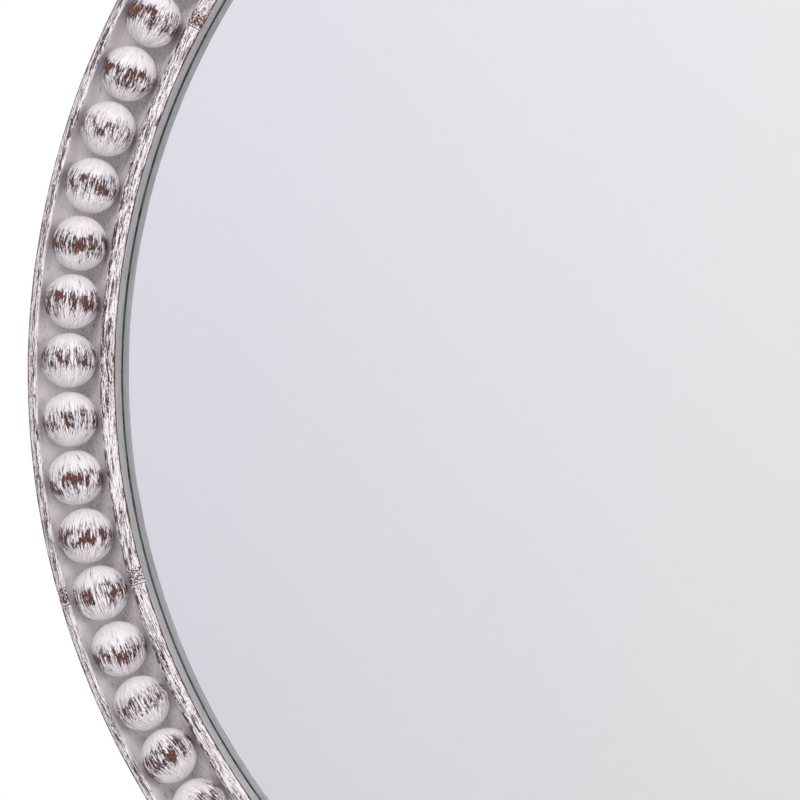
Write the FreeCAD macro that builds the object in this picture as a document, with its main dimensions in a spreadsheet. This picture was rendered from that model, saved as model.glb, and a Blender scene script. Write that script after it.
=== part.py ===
"""Round beaded wall mirror: a finger-jointed wooden ring with a row of beads in its cove.

Units are millimetres and degrees. The mirror stands upright: +Z is up, it faces -Y, and +X is to the
right as seen from the front. The origin is the point on the wall behind the mirror's centre.
"""

import FreeCAD, Part
import math
import os

import Sketcher

VECTOR = FreeCAD.Vector

# Driving sizes: name, value, meaning.
SIZES = [
    ("outer_radius", 300.0, "outside of the wooden ring"),
    ("lip_width", 4.2, "outer lip, from its inner arris to the outside"),
    ("lip_drop", 3.1, "fall of the lip from its crest to the outer arris"),
    ("lip_crown", 10.0, "radius of the lip's rounded face"),
    ("cove_clearance", 1.5, "room between a bead and the cove's wall"),
    ("floor_margin", 0.4, "flat cove floor beyond a bead's seat"),
    ("floor_rise", 2.0, "cove floor above the glass"),
    ("rim_rise", 0.2, "moulding crests above the cove's centre"),
    ("shoulder_width", 0.85, "step between the cove and the inner moulding"),
    ("shoulder_drop", 1.7, "step's depth below the inner moulding"),
    ("moulding_width", 5.05, "flat inner moulding round the glass"),
    ("bead_diameter", 20.5, "one wooden bead"),
    ("bead_seat_radius", 4.2, "flat that a bead is glued down on"),
    ("bead_spacing", 1.2, "least gap between neighbouring beads"),
    ("bead_start_angle", 179.0, "first bead, from +X towards +Z"),
    ("joint_start_angle", 195.46, "first finger joint, from +X towards +Z"),
    ("finger_length", 6.3, "finger joint, along the middle of the cove"),
    ("glass_overlap", 5.0, "glass edge behind the inner moulding"),
    ("glass_clearance", 1.0, "gap between the glass edge and the rebate"),
    ("glass_thickness", 3.0, "float glass"),
    ("coat_thickness", 0.1, "silvering with its backing paint"),
    ("foam_thickness", 1.0, "foam sheet behind the coat"),
    ("panel_thickness", 3.0, "hardboard backing panel"),
    ("panel_recess", 0.9, "panel's back below the ring's back face"),
    ("bumper_height", 5.0, "wall bumper, and so the ring's distance from the wall"),
    ("bumper_radius", 5.0, "wall bumper"),
    ("bumper_start_angle", 0.0, "first wall bumper, from +X towards +Z"),
    ("clip_thickness", 1.0, "retaining clip's steel strip"),
    ("clip_width", 12.0, "retaining clip"),
    ("clip_reach", 9.0, "clip's tongue over the panel"),
    ("clip_slope", 1.3, "run of the clip's joggle"),
    ("clip_tail", 6.0, "clip beyond its screw"),
    ("clip_heel_gap", 0.2, "clip's foot to the rebate's edge"),
    ("screw_head_radius", 3.0, "pan head screw"),
    ("screw_head_height", 2.0, "pan head screw"),
    ("screw_radius", 1.5, "screw's shank"),
    ("screw_length", 8.0, "screw below its head"),
    ("screw_clearance", 0.3, "radial room for the shank in a strip"),
    ("pilot_clearance", 0.05, "radial room for the shank in the wood"),
    ("pilot_spare", 0.6, "pilot hole beyond the screw's end"),
    ("hanger_angle", 45.0, "hanger's bar, from +X and -X upwards"),
    ("hanger_offset", 1.75, "hanger's bar beyond the middle of the ring's back"),
    ("strap_width", 10.0, "hanger strap"),
    ("strap_gauge", 0.8, "one leaf of the hanger strap"),
    ("strap_length", 16.0, "strap's free end to the bar"),
    ("strap_hole_setback", 6.0, "strap's free end to its screw"),
    ("wire_radius", 1.0, "D ring's wire"),
    ("wire_clearance", 0.08, "radial room for the bar in the strap's loop"),
    ("ring_half_width", 7.0, "D ring, centre to the middle of its side wire"),
    ("ring_leg", 3.0, "straight side of the D ring"),
    ("ring_gap", 0.3, "leaning D ring's distance from the ring's back"),
    ("overrun", 1.0, "how far a cut runs past what it cuts"),
]

# What follows from the driving sizes: name, formula.
DERIVED = [
    ("bead_radius", "sizes.bead_diameter / 2"),
    ("cove_radius", "bead_radius + sizes.cove_clearance"),
    ("cove_circle", "sizes.outer_radius - sizes.lip_width - cove_radius"),
    ("floor_half", "sizes.bead_seat_radius + sizes.floor_margin"),
    ("back_level", "sizes.bumper_height"),
    ("panel_level", "back_level + sizes.panel_recess"),
    ("foam_level", "panel_level + sizes.panel_thickness"),
    ("coat_level", "foam_level + sizes.foam_thickness"),
    ("glass_level", "coat_level + sizes.coat_thickness"),
    ("seat_level", "glass_level + sizes.glass_thickness"),
    ("floor_level", "seat_level + sizes.floor_rise"),
    ("cove_level", "floor_level + sqrt(cove_radius ^ 2 - floor_half ^ 2)"),
    ("rim_level", "cove_level + sizes.rim_rise"),
    ("arris_level", "rim_level - sizes.lip_drop"),
    ("shoulder_level", "rim_level - sizes.shoulder_drop"),
    ("bead_level", "floor_level + sqrt(bead_radius ^ 2 - sizes.bead_seat_radius ^ 2)"),
    ("lip_inner_radius", "cove_circle + cove_radius"),
    ("shoulder_radius", "cove_circle - sqrt(cove_radius ^ 2 - (cove_level - shoulder_level) ^ 2)"),
    ("moulding_radius", "shoulder_radius - sizes.shoulder_width"),
    ("sight_radius", "moulding_radius - sizes.moulding_width"),
    ("glass_radius", "sight_radius + sizes.glass_overlap"),
    ("rebate_radius", "glass_radius + sizes.glass_clearance"),
    ("back_circle", "(rebate_radius + sizes.outer_radius) / 2"),
    ("finger_height", "(rim_level - back_level) / layer_count"),
    ("segment_angle", "360 / segment_count"),
    ("finger_angle", "sizes.finger_length / cove_circle * 180 / pi"),
    ("segment_span", "segment_angle + finger_angle"),
    ("clip_angle", "segment_span / 2"),
    ("strap_thickness", "2 * sizes.strap_gauge"),
    ("loop_bore", "sizes.wire_radius + sizes.wire_clearance"),
    ("loop_radius", "loop_bore + sizes.strap_gauge"),
    ("hanger_circle", "back_circle + sizes.hanger_offset"),
    ("hanger_x", "hanger_circle * cos(sizes.hanger_angle)"),
    ("hanger_z", "hanger_circle * sin(sizes.hanger_angle)"),
    ("hanger_screw_z", "hanger_z - sizes.strap_length + sizes.strap_hole_setback"),
    ("ring_length", "sizes.ring_leg + sizes.ring_half_width"),
    ("ring_lean", "asin((loop_radius - sizes.wire_radius - sizes.ring_gap) / ring_length)"),
]

# Counts, which no size changes.
SEGMENT_COUNT = 8
LAYER_COUNT = 4
BEAD_SIDES = 8
BEAD_LATITUDES = (30, 60, 90, 120)
BUMPER_COUNT = 4
RING_BENDS = 6
HANGER_SIDES = {"right": 1, "left": -1}

# Directions of the two working frames. In the front frame Z leaves the wall towards the viewer, and in
# the back frame it stands on the ring's back and points at the wall. X is radial in both.
FRONT_TURN = 90
BACK_TURN = -90


def sheet_rows(sheet, rows, prefix=""):
    """Writes one named cell per row and its meaning beside it."""
    for number, row in enumerate(rows, start=1):
        sheet.set(f"A{number}", f"{prefix}{row[1]}")
        sheet.setAlias(f"A{number}", row[0])
        if len(row) > 2:
            sheet.set(f"B{number}", row[2])


def new_document():
    """The document with its sheet of driving sizes and its sheet of what follows from them."""
    document = FreeCAD.newDocument("beaded_mirror")
    sizes = document.addObject("Spreadsheet::Sheet", "sizes")
    sheet_rows(sizes, SIZES)
    document.recompute()
    derived = document.addObject("Spreadsheet::Sheet", "derived")
    counts = [("segment_count", SEGMENT_COUNT), ("layer_count", LAYER_COUNT)]
    sheet_rows(derived, counts + DERIVED, "=")
    document.recompute()
    return document


doc = new_document()
sizes = doc.getObject("sizes")


def worth(formula):
    """The number that a formula of sheet names gives."""
    return float(FreeCAD.Units.Quantity(sizes.evalExpression(formula)).Value)


def new_body(name):
    """A body whose label names its file."""
    body = doc.addObject("PartDesign::Body", name)
    body.Label = name
    body.AllowCompound = True
    return body


def origin_plane(body, role):
    """One of a body's own base planes."""
    return next(item for item in body.Origin.OriginFeatures if item.Role == role)


def new_sketch(body, name, role="XZ_Plane", turn="0"):
    """A sketch on a base plane, turned about its own upright axis."""
    sketch = body.newObject("Sketcher::SketchObject", f"{body.Name}_{name}")
    sketch.AttachmentSupport = [(origin_plane(body, role), "")]
    sketch.MapMode = "FlatFace"
    offset = f"placement(vector(0; 0; 0); rotation(vector(0; 1; 0); {turn}))"
    sketch.setExpression("AttachmentOffset", offset)
    return sketch


def pin_point(sketch, edge, end, corner):
    """Ties one end of an edge to two formulas."""
    for kind, formula in zip(("DistanceX", "DistanceY"), corner):
        index = sketch.addConstraint(Sketcher.Constraint(kind, -1, 1, edge, end, worth(formula)))
        sketch.setExpression(f"Constraints[{index}]", formula)


def bent_edge(start, finish, radius, side):
    """An arc of under a half circle, with its centre on the left (1) or the right (-1) of its way."""
    way = finish.sub(start)
    across = VECTOR(-way.y, way.x, 0).normalize()
    middle = start.add(way.multiply(1 / 2))
    reach = math.sqrt(radius**2 - middle.sub(start).Length ** 2)
    centre = middle.add(across.multiply(side * reach))
    first, last = (start, finish) if side > 0 else (finish, start)
    angles = [math.atan2(point.y - centre.y, point.x - centre.x) for point in (first, last)]
    return Part.ArcOfCircle(Part.Circle(centre, VECTOR(0, 0, 1), radius), *angles)


def add_outline(sketch, corners, bends=None):
    """A closed outline through corners of two formulas each. bends gives the radius and side of the
    edges, by the number of the corner that each starts from, that are arcs."""
    bends = bends or {}
    points = [VECTOR(worth(corner[0]), worth(corner[1]), 0) for corner in corners]
    ends = []
    for number, start in enumerate(points):
        finish = points[(number + 1) % len(points)]
        if number in bends:
            formula, side = bends[number]
            edge = sketch.addGeometry(bent_edge(start, finish, worth(formula), side), False)
            index = sketch.addConstraint(Sketcher.Constraint("Radius", edge, worth(formula)))
            sketch.setExpression(f"Constraints[{index}]", formula)
            ends.append((edge, 1, 2) if side > 0 else (edge, 2, 1))
        else:
            edge = sketch.addGeometry(Part.LineSegment(start, finish), False)
            ends.append((edge, 1, 2))
    for number, corner in enumerate(corners):
        edge, first, _ = ends[number]
        before, _, last = ends[number - 1]
        sketch.addConstraint(Sketcher.Constraint("Coincident", before, last, edge, first))
        pin_point(sketch, edge, first, corner)


def add_circle(sketch, centre, radius):
    """A circle from three formulas."""
    place = VECTOR(worth(centre[0]), worth(centre[1]), 0)
    edge = sketch.addGeometry(Part.Circle(place, VECTOR(0, 0, 1), worth(radius)), False)
    pin_point(sketch, edge, 3, centre)
    index = sketch.addConstraint(Sketcher.Constraint("Radius", edge, worth(radius)))
    sketch.setExpression(f"Constraints[{index}]", radius)


def add_turning_line(sketch, radius, height):
    """An upright construction line, which a revolution takes as its axis."""
    foot, head = VECTOR(worth(radius), 0, 0), VECTOR(worth(radius), worth(height), 0)
    edge = sketch.addGeometry(Part.LineSegment(foot, head), True)
    pin_point(sketch, edge, 1, (radius, "0"))
    pin_point(sketch, edge, 2, (radius, height))


def revolve(body, name, sketch, axis="V_Axis", angle="360", kind="PartDesign::Revolution"):
    """A revolution, or a groove, of a sketch about one of its axes."""
    feature = body.newObject(kind, f"{body.Name}_{name}")
    feature.Profile = sketch
    feature.ReferenceAxis = (sketch, [axis])
    feature.setExpression("Angle", angle)
    return feature


def pocket(body, name, sketch, depth):
    """A pocket that runs along the sketch plane's own normal, into what stands above it."""
    feature = body.newObject("PartDesign::Pocket", f"{body.Name}_{name}")
    feature.Profile = sketch
    feature.Reversed = True
    feature.setExpression("Length", depth)
    return feature


def pad(body, name, sketch, width):
    """A pad that is centred on its sketch."""
    feature = body.newObject("PartDesign::Pad", f"{body.Name}_{name}")
    feature.Profile = sketch
    feature.Midplane = True
    feature.setExpression("Length", width)
    doc.recompute()


def checked_cut(feature):
    """Recomputes and makes sure that a cut took something away."""
    whole = feature.BaseFeature.Shape.Volume
    doc.recompute()
    if not feature.Shape.Volume < whole:
        raise ValueError(f"{feature.Name} cuts nothing")


def set_frame(item, turn, angle="0", base=("0", "0", "0")):
    """Stands a piece up: its frame's turn about X, after its own turn about the ring's axis."""
    sign = "" if turn > 0 else "-"
    item.setExpression(
        "Placement",
        f"placement(vector({'; '.join(base)}); rotation(vector(1; 0; 0); {turn})"
        f" * rotation(vector(0; 0; 1); {sign}({angle})))",
    )


# Wooden ring


def ring_profile(body):
    """The ring's section: rebate, inner moulding, shoulder, cove and rounded outer lip."""
    sketch = new_sketch(body, "section")
    corners = [
        ("derived.rebate_radius", "derived.back_level"),
        ("sizes.outer_radius", "derived.back_level"),
        ("sizes.outer_radius", "derived.arris_level"),
        ("derived.lip_inner_radius", "derived.rim_level"),
        ("derived.lip_inner_radius", "derived.cove_level"),
        ("derived.cove_circle + derived.floor_half", "derived.floor_level"),
        ("derived.cove_circle - derived.floor_half", "derived.floor_level"),
        ("derived.shoulder_radius", "derived.shoulder_level"),
        ("derived.moulding_radius", "derived.shoulder_level"),
        ("derived.moulding_radius", "derived.rim_level"),
        ("derived.sight_radius", "derived.rim_level"),
        ("derived.sight_radius", "derived.seat_level"),
        ("derived.rebate_radius", "derived.seat_level"),
    ]
    bends = {2: ("sizes.lip_crown", 1), 4: ("derived.cove_radius", -1), 6: ("derived.cove_radius", -1)}
    add_outline(sketch, corners, bends)
    return sketch


def cut_layers(body, name, layers, turn):
    """Takes one end's finger sockets out of a segment: every other layer, one finger long."""
    sketch = new_sketch(body, f"{name}_section", turn=turn)
    inside = "derived.sight_radius - sizes.overrun"
    outside = "sizes.outer_radius + sizes.overrun"
    for layer in layers:
        low = f"derived.back_level + {layer} * derived.finger_height"
        high = f"derived.back_level + {layer + 1} * derived.finger_height"
        if layer == 0:
            low += " - sizes.overrun"
        if layer == LAYER_COUNT - 1:
            high += " + sizes.overrun"
        add_outline(sketch, [(inside, low), (outside, low), (outside, high), (inside, high)])
    groove = revolve(body, name, sketch, angle="derived.finger_angle", kind="PartDesign::Groove")
    checked_cut(groove)


def segment_start(index):
    """Formula of the angle at which a segment's first finger begins."""
    return f"(sizes.joint_start_angle + {index} * derived.segment_angle)"


def hanger_screw_places(index):
    """Where hanger screws enter one segment, as formulas in its own frame."""
    start = segment_start(index)
    places = []
    for side in HANGER_SIDES.values():
        across = f"{side} * derived.hanger_x"
        up = "derived.hanger_screw_z"
        along = (
            f"{across} * cos({start}) + {up} * sin({start})",
            f"{up} * cos({start}) - {across} * sin({start})",
        )
        angle = math.degrees(math.atan2(worth(along[1]), worth(along[0])))
        if 0 < angle < worth("derived.segment_span"):
            places.append(along)
    return places


def drill_pilots(body, name, places, depth):
    """Blind pilot holes into the ring's back, at places in the front frame."""
    sketch = new_sketch(body, f"{name}_places", "XY_Plane")
    for place in places:
        add_circle(sketch, place, "sizes.screw_radius + sizes.pilot_clearance")
    checked_cut(pocket(body, name, sketch, f"derived.back_level + {depth} + sizes.pilot_spare"))


def make_segment(index):
    """One wooden segment with interlocking fingers at both ends and its pilot holes."""
    body = new_body(f"frame_segment_{index + 1}")
    revolve(body, "ring", ring_profile(body), angle="derived.segment_span")
    doc.recompute()
    cut_layers(body, "start_fingers", range(1, LAYER_COUNT, 2), "0")
    cut_layers(body, "end_fingers", range(0, LAYER_COUNT, 2), "derived.segment_angle")
    middle = [f"derived.back_circle * {part}(derived.clip_angle)" for part in ("cos", "sin")]
    drill_pilots(body, "clip_pilot", [middle], "sizes.screw_length - sizes.clip_thickness")
    hanger_places = hanger_screw_places(index)
    if hanger_places:
        drill_pilots(body, "hanger_pilot", hanger_places, "sizes.screw_length - derived.strap_thickness")
    set_frame(body, FRONT_TURN, segment_start(index))
    return body


# Beads


def bead_solid():
    """A cut-down ball on its glued flat: rings of flat facets whose corners lie on the ball."""
    radius = worth("derived.bead_radius")
    seat = worth("sizes.bead_seat_radius")
    rings = [(radius * math.sin(math.radians(angle)), radius * math.cos(math.radians(angle)))
             for angle in BEAD_LATITUDES]
    rings.append((seat, -math.sqrt(radius**2 - seat**2)))
    corners = [
        [VECTOR(reach * math.cos(turn), reach * math.sin(turn), level)
         for turn in (2 * math.pi * side / BEAD_SIDES for side in range(BEAD_SIDES))]
        for reach, level in rings
    ]
    crown = VECTOR(0, 0, radius)
    outlines = [corners[-1][::-1]]
    for side in range(BEAD_SIDES):
        after = (side + 1) % BEAD_SIDES
        outlines.append([crown, corners[0][side], corners[0][after]])
        for upper, lower in zip(corners, corners[1:]):
            outlines.append([upper[side], lower[side], lower[after], upper[after]])
    faces = [Part.Face(Part.makePolygon(outline + outline[:1])) for outline in outlines]
    return Part.Solid(Part.Shell(faces))


def bead_angles():
    """Polar angles of the beads, as many as the cove has room for."""
    pitch = worth("sizes.bead_diameter + sizes.bead_spacing")
    count = int(2 * math.pi * worth("derived.cove_circle") // pitch)
    return [worth("sizes.bead_start_angle") + 360 * number / count for number in range(count)]


def make_bead_rows():
    """The beads that each segment carries, as a group of separate balls."""
    ball = bead_solid()
    rows = [[] for _ in range(SEGMENT_COUNT)]
    axis = VECTOR(0, 0, 1)
    for angle in bead_angles():
        bead = ball.copy()
        bead.translate(VECTOR(worth("derived.cove_circle"), 0, worth("derived.bead_level")))
        bead.rotate(VECTOR(0, 0, 0), axis, angle)
        row = int((angle - worth("sizes.joint_start_angle")) % 360 // worth("derived.segment_angle"))
        rows[row].append(bead)
    nodes = []
    for index, beads in enumerate(rows):
        node = doc.addObject("Part::Feature", f"bead_row_{index + 1}")
        node.Label = node.Name
        node.Shape = Part.makeCompound(beads)
        set_frame(node, FRONT_TURN)
        nodes.append(node)
    return nodes


# Mirror and backing


def make_disc(name, level, thickness):
    """A round sheet of the mirror's sandwich."""
    disc = doc.addObject("Part::Cylinder", name)
    disc.Label = name
    disc.setExpression("Radius", "derived.glass_radius")
    disc.setExpression("Height", thickness)
    set_frame(disc, FRONT_TURN, base=("0", f"-({level})", "0"))
    return disc


def make_mirror():
    """Glass, silvering, foam sheet and panel, each face to face with the next."""
    layers = {
        "mirror_glass": ("derived.glass_level", "sizes.glass_thickness"),
        "silver_coat": ("derived.coat_level", "sizes.coat_thickness"),
        "foam_sheet": ("derived.foam_level", "sizes.foam_thickness"),
        "backing_panel": ("derived.panel_level", "sizes.panel_thickness"),
    }
    return [make_disc(name, level, thickness) for name, (level, thickness) in layers.items()]


# Pieces on the back, in the back frame


def back_base(across="0", up="0"):
    """A base point on the ring's back face."""
    return (across, "-derived.back_level", up)


def screw_hole(body, across, thickness):
    """A screw's clearance hole through a strip that lies on the ring's back."""
    sketch = new_sketch(body, "hole_place", "XY_Plane")
    add_circle(sketch, (across, "0"), "sizes.screw_radius + sizes.screw_clearance")
    checked_cut(pocket(body, "hole", sketch, f"{thickness} + sizes.overrun"))


def make_clip(index):
    """A joggled steel clip: its foot on the ring, its tongue on the recessed panel."""
    body = new_body(f"retaining_clip_{index + 1}")
    section = new_sketch(body, "section")
    tongue = "derived.glass_radius - sizes.clip_reach"
    heel = "derived.rebate_radius - sizes.clip_heel_gap"
    toe = f"{heel} - sizes.clip_slope"
    tail = "derived.back_circle + sizes.clip_tail"
    add_outline(section, [
        (tongue, "-sizes.panel_recess"),
        (toe, "-sizes.panel_recess"),
        (heel, "0"),
        (tail, "0"),
        (tail, "sizes.clip_thickness"),
        (heel, "sizes.clip_thickness"),
        (toe, "sizes.clip_thickness - sizes.panel_recess"),
        (tongue, "sizes.clip_thickness - sizes.panel_recess"),
    ])
    pad(body, "strip", section, "sizes.clip_width")
    screw_hole(body, "derived.back_circle", "sizes.clip_thickness")
    set_frame(body, BACK_TURN, f"{segment_start(index)} + derived.clip_angle", back_base())
    return body


def add_screw(body, across, seat):
    """One pan head screw on an upright axis, with its head on a strip's outer face."""
    sketch = new_sketch(body, "section")
    end = f"{seat} - sizes.screw_length"
    top = f"{seat} + sizes.screw_head_height"
    add_outline(sketch, [
        (across, end),
        (f"{across} + sizes.screw_radius", end),
        (f"{across} + sizes.screw_radius", seat),
        (f"{across} + sizes.screw_head_radius", seat),
        (f"{across} + sizes.screw_head_radius", top),
        (across, top),
    ])
    add_turning_line(sketch, across, top)
    screw = revolve(body, "screw", sketch, "Axis0")
    doc.recompute()
    return screw


def add_ring_pattern(body, feature, count):
    """Repeats a feature round the ring's axis."""
    ring = body.newObject("PartDesign::PolarPattern", f"{body.Name}_ring")
    ring.Originals = [feature]
    ring.Axis = (origin_plane(body, "Z_Axis"), [""])
    ring.Angle = 360
    ring.Occurrences = count
    body.Tip = ring


def make_clip_screws():
    """The clips' screws, one at each segment's middle."""
    body = new_body("clip_screws")
    add_ring_pattern(body, add_screw(body, "derived.back_circle", "sizes.clip_thickness"), SEGMENT_COUNT)
    set_frame(body, BACK_TURN, f"{segment_start(0)} + derived.clip_angle", back_base())
    return body


def make_hanger_screws():
    """The two hangers' screws, one on each side of the upright centre line."""
    body = new_body("hanger_screws")
    screw = add_screw(body, "derived.hanger_x", "derived.strap_thickness")
    pair = body.newObject("PartDesign::Mirrored", f"{body.Name}_pair")
    pair.Originals = [screw]
    pair.MirrorPlane = (origin_plane(body, "YZ_Plane"), [""])
    body.Tip = pair
    set_frame(body, BACK_TURN, base=back_base(up="derived.hanger_screw_z"))
    return body


def make_strap(side_name, side):
    """A hanger's folded strap: two leaves on the ring's back and a loop round the bar."""
    body = new_body(f"hanger_strap_{side_name}")
    sketch = new_sketch(body, "section")
    shoulder = "derived.loop_radius * sin(45)"
    crest = f"derived.loop_radius + {shoulder}"
    add_outline(sketch, [
        ("0", "0"),
        ("sizes.strap_length", "0"),
        ("sizes.strap_length + derived.loop_radius", "derived.loop_radius"),
        (f"sizes.strap_length - {shoulder}", crest),
        (f"sizes.strap_length - {shoulder} - ({crest} - derived.strap_thickness)", "derived.strap_thickness"),
        ("0", "derived.strap_thickness"),
    ], {1: ("derived.loop_radius", 1), 2: ("derived.loop_radius", 1)})
    add_circle(sketch, ("sizes.strap_length", "derived.loop_radius"), "derived.loop_bore")
    pad(body, "leaves", sketch, "sizes.strap_width")
    screw_hole(body, "sizes.strap_hole_setback", "derived.strap_thickness")
    base = back_base(f"{side} * derived.hanger_x", "derived.hanger_z - sizes.strap_length")
    set_frame(body, BACK_TURN, "90", base)
    return body


def ring_corners():
    """The D ring's path in its own plane, from the middle of its bar round to where it began."""
    half = "sizes.ring_half_width"
    corners = [("0", "0"), ("0", half)]
    for number in range(RING_BENDS + 1):
        angle = f"(90 - {number} * 180 / {RING_BENDS})"
        corners.append((f"sizes.ring_leg + {half} * cos{angle}", f"{half} * sin{angle}"))
    return corners + [("0", f"-{half}")]


def make_d_ring(side_name, side):
    """A D ring of round wire in short straight runs: its bar turns in the strap's loop, and it leans on
    the ring's back."""
    body = new_body(f"d_ring_{side_name}")
    path = new_sketch(body, "path", "XY_Plane")
    add_outline(path, ring_corners())
    section = new_sketch(body, "section")
    add_circle(section, ("0", "0"), "sizes.wire_radius")
    doc.recompute()
    wire = body.newObject("PartDesign::AdditivePipe", f"{body.Name}_wire")
    wire.Profile = section
    wire.Spine = (path, [f"Edge{number + 1}" for number in range(path.GeometryCount)])
    wire.Transition = "Right corner"
    bar = f"{side} * derived.hanger_x; derived.loop_radius - derived.back_level; derived.hanger_z"
    body.setExpression(
        "Placement",
        f"placement(vector({bar}); rotation(vector(1; 0; 0); {BACK_TURN})"
        " * rotation(vector(0; 0; 1); -90) * rotation(vector(0; 1; 0); derived.ring_lean))",
    )
    return body


def make_bumpers():
    """Soft round bumpers between the ring's back and the wall."""
    body = new_body("wall_bumpers")
    sketch = new_sketch(body, "section")
    axis = "derived.back_circle"
    edge = f"{axis} + sizes.bumper_radius"
    top = "sizes.bumper_height"
    add_outline(sketch, [(axis, "0"), (edge, "0"), (edge, top), (axis, top)])
    add_turning_line(sketch, axis, top)
    bumper = revolve(body, "bumper", sketch, "Axis0")
    doc.recompute()
    add_ring_pattern(body, bumper, BUMPER_COUNT)
    set_frame(body, BACK_TURN, "sizes.bumper_start_angle", back_base())
    return body


def make_all():
    """Every piece of the mirror, in the order in which it is put together."""
    pieces = [make_segment(index) for index in range(SEGMENT_COUNT)]
    pieces += make_bead_rows()
    pieces += make_mirror()
    pieces += [make_clip(index) for index in range(SEGMENT_COUNT)]
    pieces.append(make_clip_screws())
    for side_name, side in HANGER_SIDES.items():
        pieces.append(make_strap(side_name, side))
        pieces.append(make_d_ring(side_name, side))
    pieces.append(make_hanger_screws())
    pieces.append(make_bumpers())
    return pieces


def write_pieces(pieces):
    """Checks every object, then writes one file per piece."""
    doc.recompute()
    for item in doc.Objects:
        if "Invalid" in item.State or "Error" in item.State:
            raise ValueError(f"{item.Name} failed: {item.State}")
    for piece in pieces:
        if piece.Shape.isNull() or not piece.Shape.isValid():
            raise ValueError(f"{piece.Label} has no valid shape")
    os.makedirs("parts", exist_ok=True)
    for piece in pieces:
        piece.Shape.exportStep(f"parts/{piece.Label}.step")
        print(f"{piece.Label}: {len(piece.Shape.Solids)} solids, {piece.Shape.Volume:.1f} mm3")
    print(f"{len(pieces)} pieces, ring lean {worth('derived.ring_lean'):.2f} degrees")


write_pieces(make_all())
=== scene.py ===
import logging
import math
import random
from dataclasses import dataclass
from enum import Enum
from typing import Any, Callable, Optional, Union

import bmesh
import bpy
from mathutils import Euler, Matrix, Vector


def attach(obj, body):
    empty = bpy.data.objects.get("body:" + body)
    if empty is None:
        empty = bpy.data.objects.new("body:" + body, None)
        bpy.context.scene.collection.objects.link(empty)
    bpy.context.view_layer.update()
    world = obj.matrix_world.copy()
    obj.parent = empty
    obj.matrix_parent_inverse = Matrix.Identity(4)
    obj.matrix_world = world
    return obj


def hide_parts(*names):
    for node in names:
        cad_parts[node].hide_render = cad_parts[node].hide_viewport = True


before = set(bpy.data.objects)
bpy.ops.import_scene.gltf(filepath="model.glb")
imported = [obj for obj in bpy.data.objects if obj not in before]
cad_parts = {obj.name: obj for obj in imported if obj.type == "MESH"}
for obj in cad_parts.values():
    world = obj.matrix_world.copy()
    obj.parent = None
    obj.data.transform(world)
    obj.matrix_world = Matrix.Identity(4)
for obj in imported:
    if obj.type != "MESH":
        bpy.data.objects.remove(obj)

LOG = logging.getLogger("beaded_mirror")
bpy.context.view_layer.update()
MM = 0.001
DOUBLES = 1e-6  # in metres: corners closer than this are one
CLOSE_BY = 1e-5  # in metres: a corner or edge this close to a place is the one meant

# Sizes that several pieces follow, in millimetres and degrees

SEGMENTS = 8
JOINT_ANGLE = 195.46
FINGER_ANGLE = 1.2708
SEGMENT_ANGLE = 360 / SEGMENTS
FINGER_HEIGHT = 5.253
FINGER_LAYERS = 4
BACK_LEVEL = 5.0
COVE_CIRCLE = 284.05
COVE_FLOOR = 15.0
CLIP_CIRCLE = 286.25
SCREW_HOLE = 1.8


def linear(red: int, green: int, blue: int) -> tuple[float, float, float, float]:
    """Turns a screen colour into the linear one that Blender's sockets take.

    Args:
        red: The red channel, from 0 to 255.
        green: The green channel.
        blue: The blue channel.

    Returns:
        The linear colour, with full alpha.
    """
    def channel(step: int) -> float:
        """One channel's linear value."""
        share = step / 255
        return share / 12.92 if share <= 0.04045 else ((share + 0.055) / 1.055) ** 2.4
    return (channel(red), channel(green), channel(blue), 1.0)


# Node sheets


class Wire:
    """One value on its way through a material, with arithmetic that adds Math nodes."""

    def __init__(self, sheet: "NodeSheet", socket: bpy.types.NodeSocket) -> None:
        """Wraps one output socket of a sheet."""
        self.sheet = sheet
        self.socket = socket

    def twin(self, output: Union[int, str]) -> "Wire":
        """Another output of the same node."""
        return Wire(self.sheet, self.socket.node.outputs[output])

    def __add__(self, other: "Value") -> "Wire":
        """This value plus another."""
        return self.sheet.math("ADD", self, other)

    def __radd__(self, other: "Value") -> "Wire":
        """Another value plus this one."""
        return self.sheet.math("ADD", other, self)

    def __sub__(self, other: "Value") -> "Wire":
        """This value less another."""
        return self.sheet.math("SUBTRACT", self, other)

    def __rsub__(self, other: "Value") -> "Wire":
        """Another value less this one."""
        return self.sheet.math("SUBTRACT", other, self)

    def __mul__(self, other: "Value") -> "Wire":
        """This value times another."""
        return self.sheet.math("MULTIPLY", self, other)

    def __rmul__(self, other: "Value") -> "Wire":
        """Another value times this one."""
        return self.sheet.math("MULTIPLY", other, self)

    def __truediv__(self, other: "Value") -> "Wire":
        """This value over another."""
        return self.sheet.math("DIVIDE", self, other)


Value = Union[float, Wire]
Colour = tuple[float, float, float, float]


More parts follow.
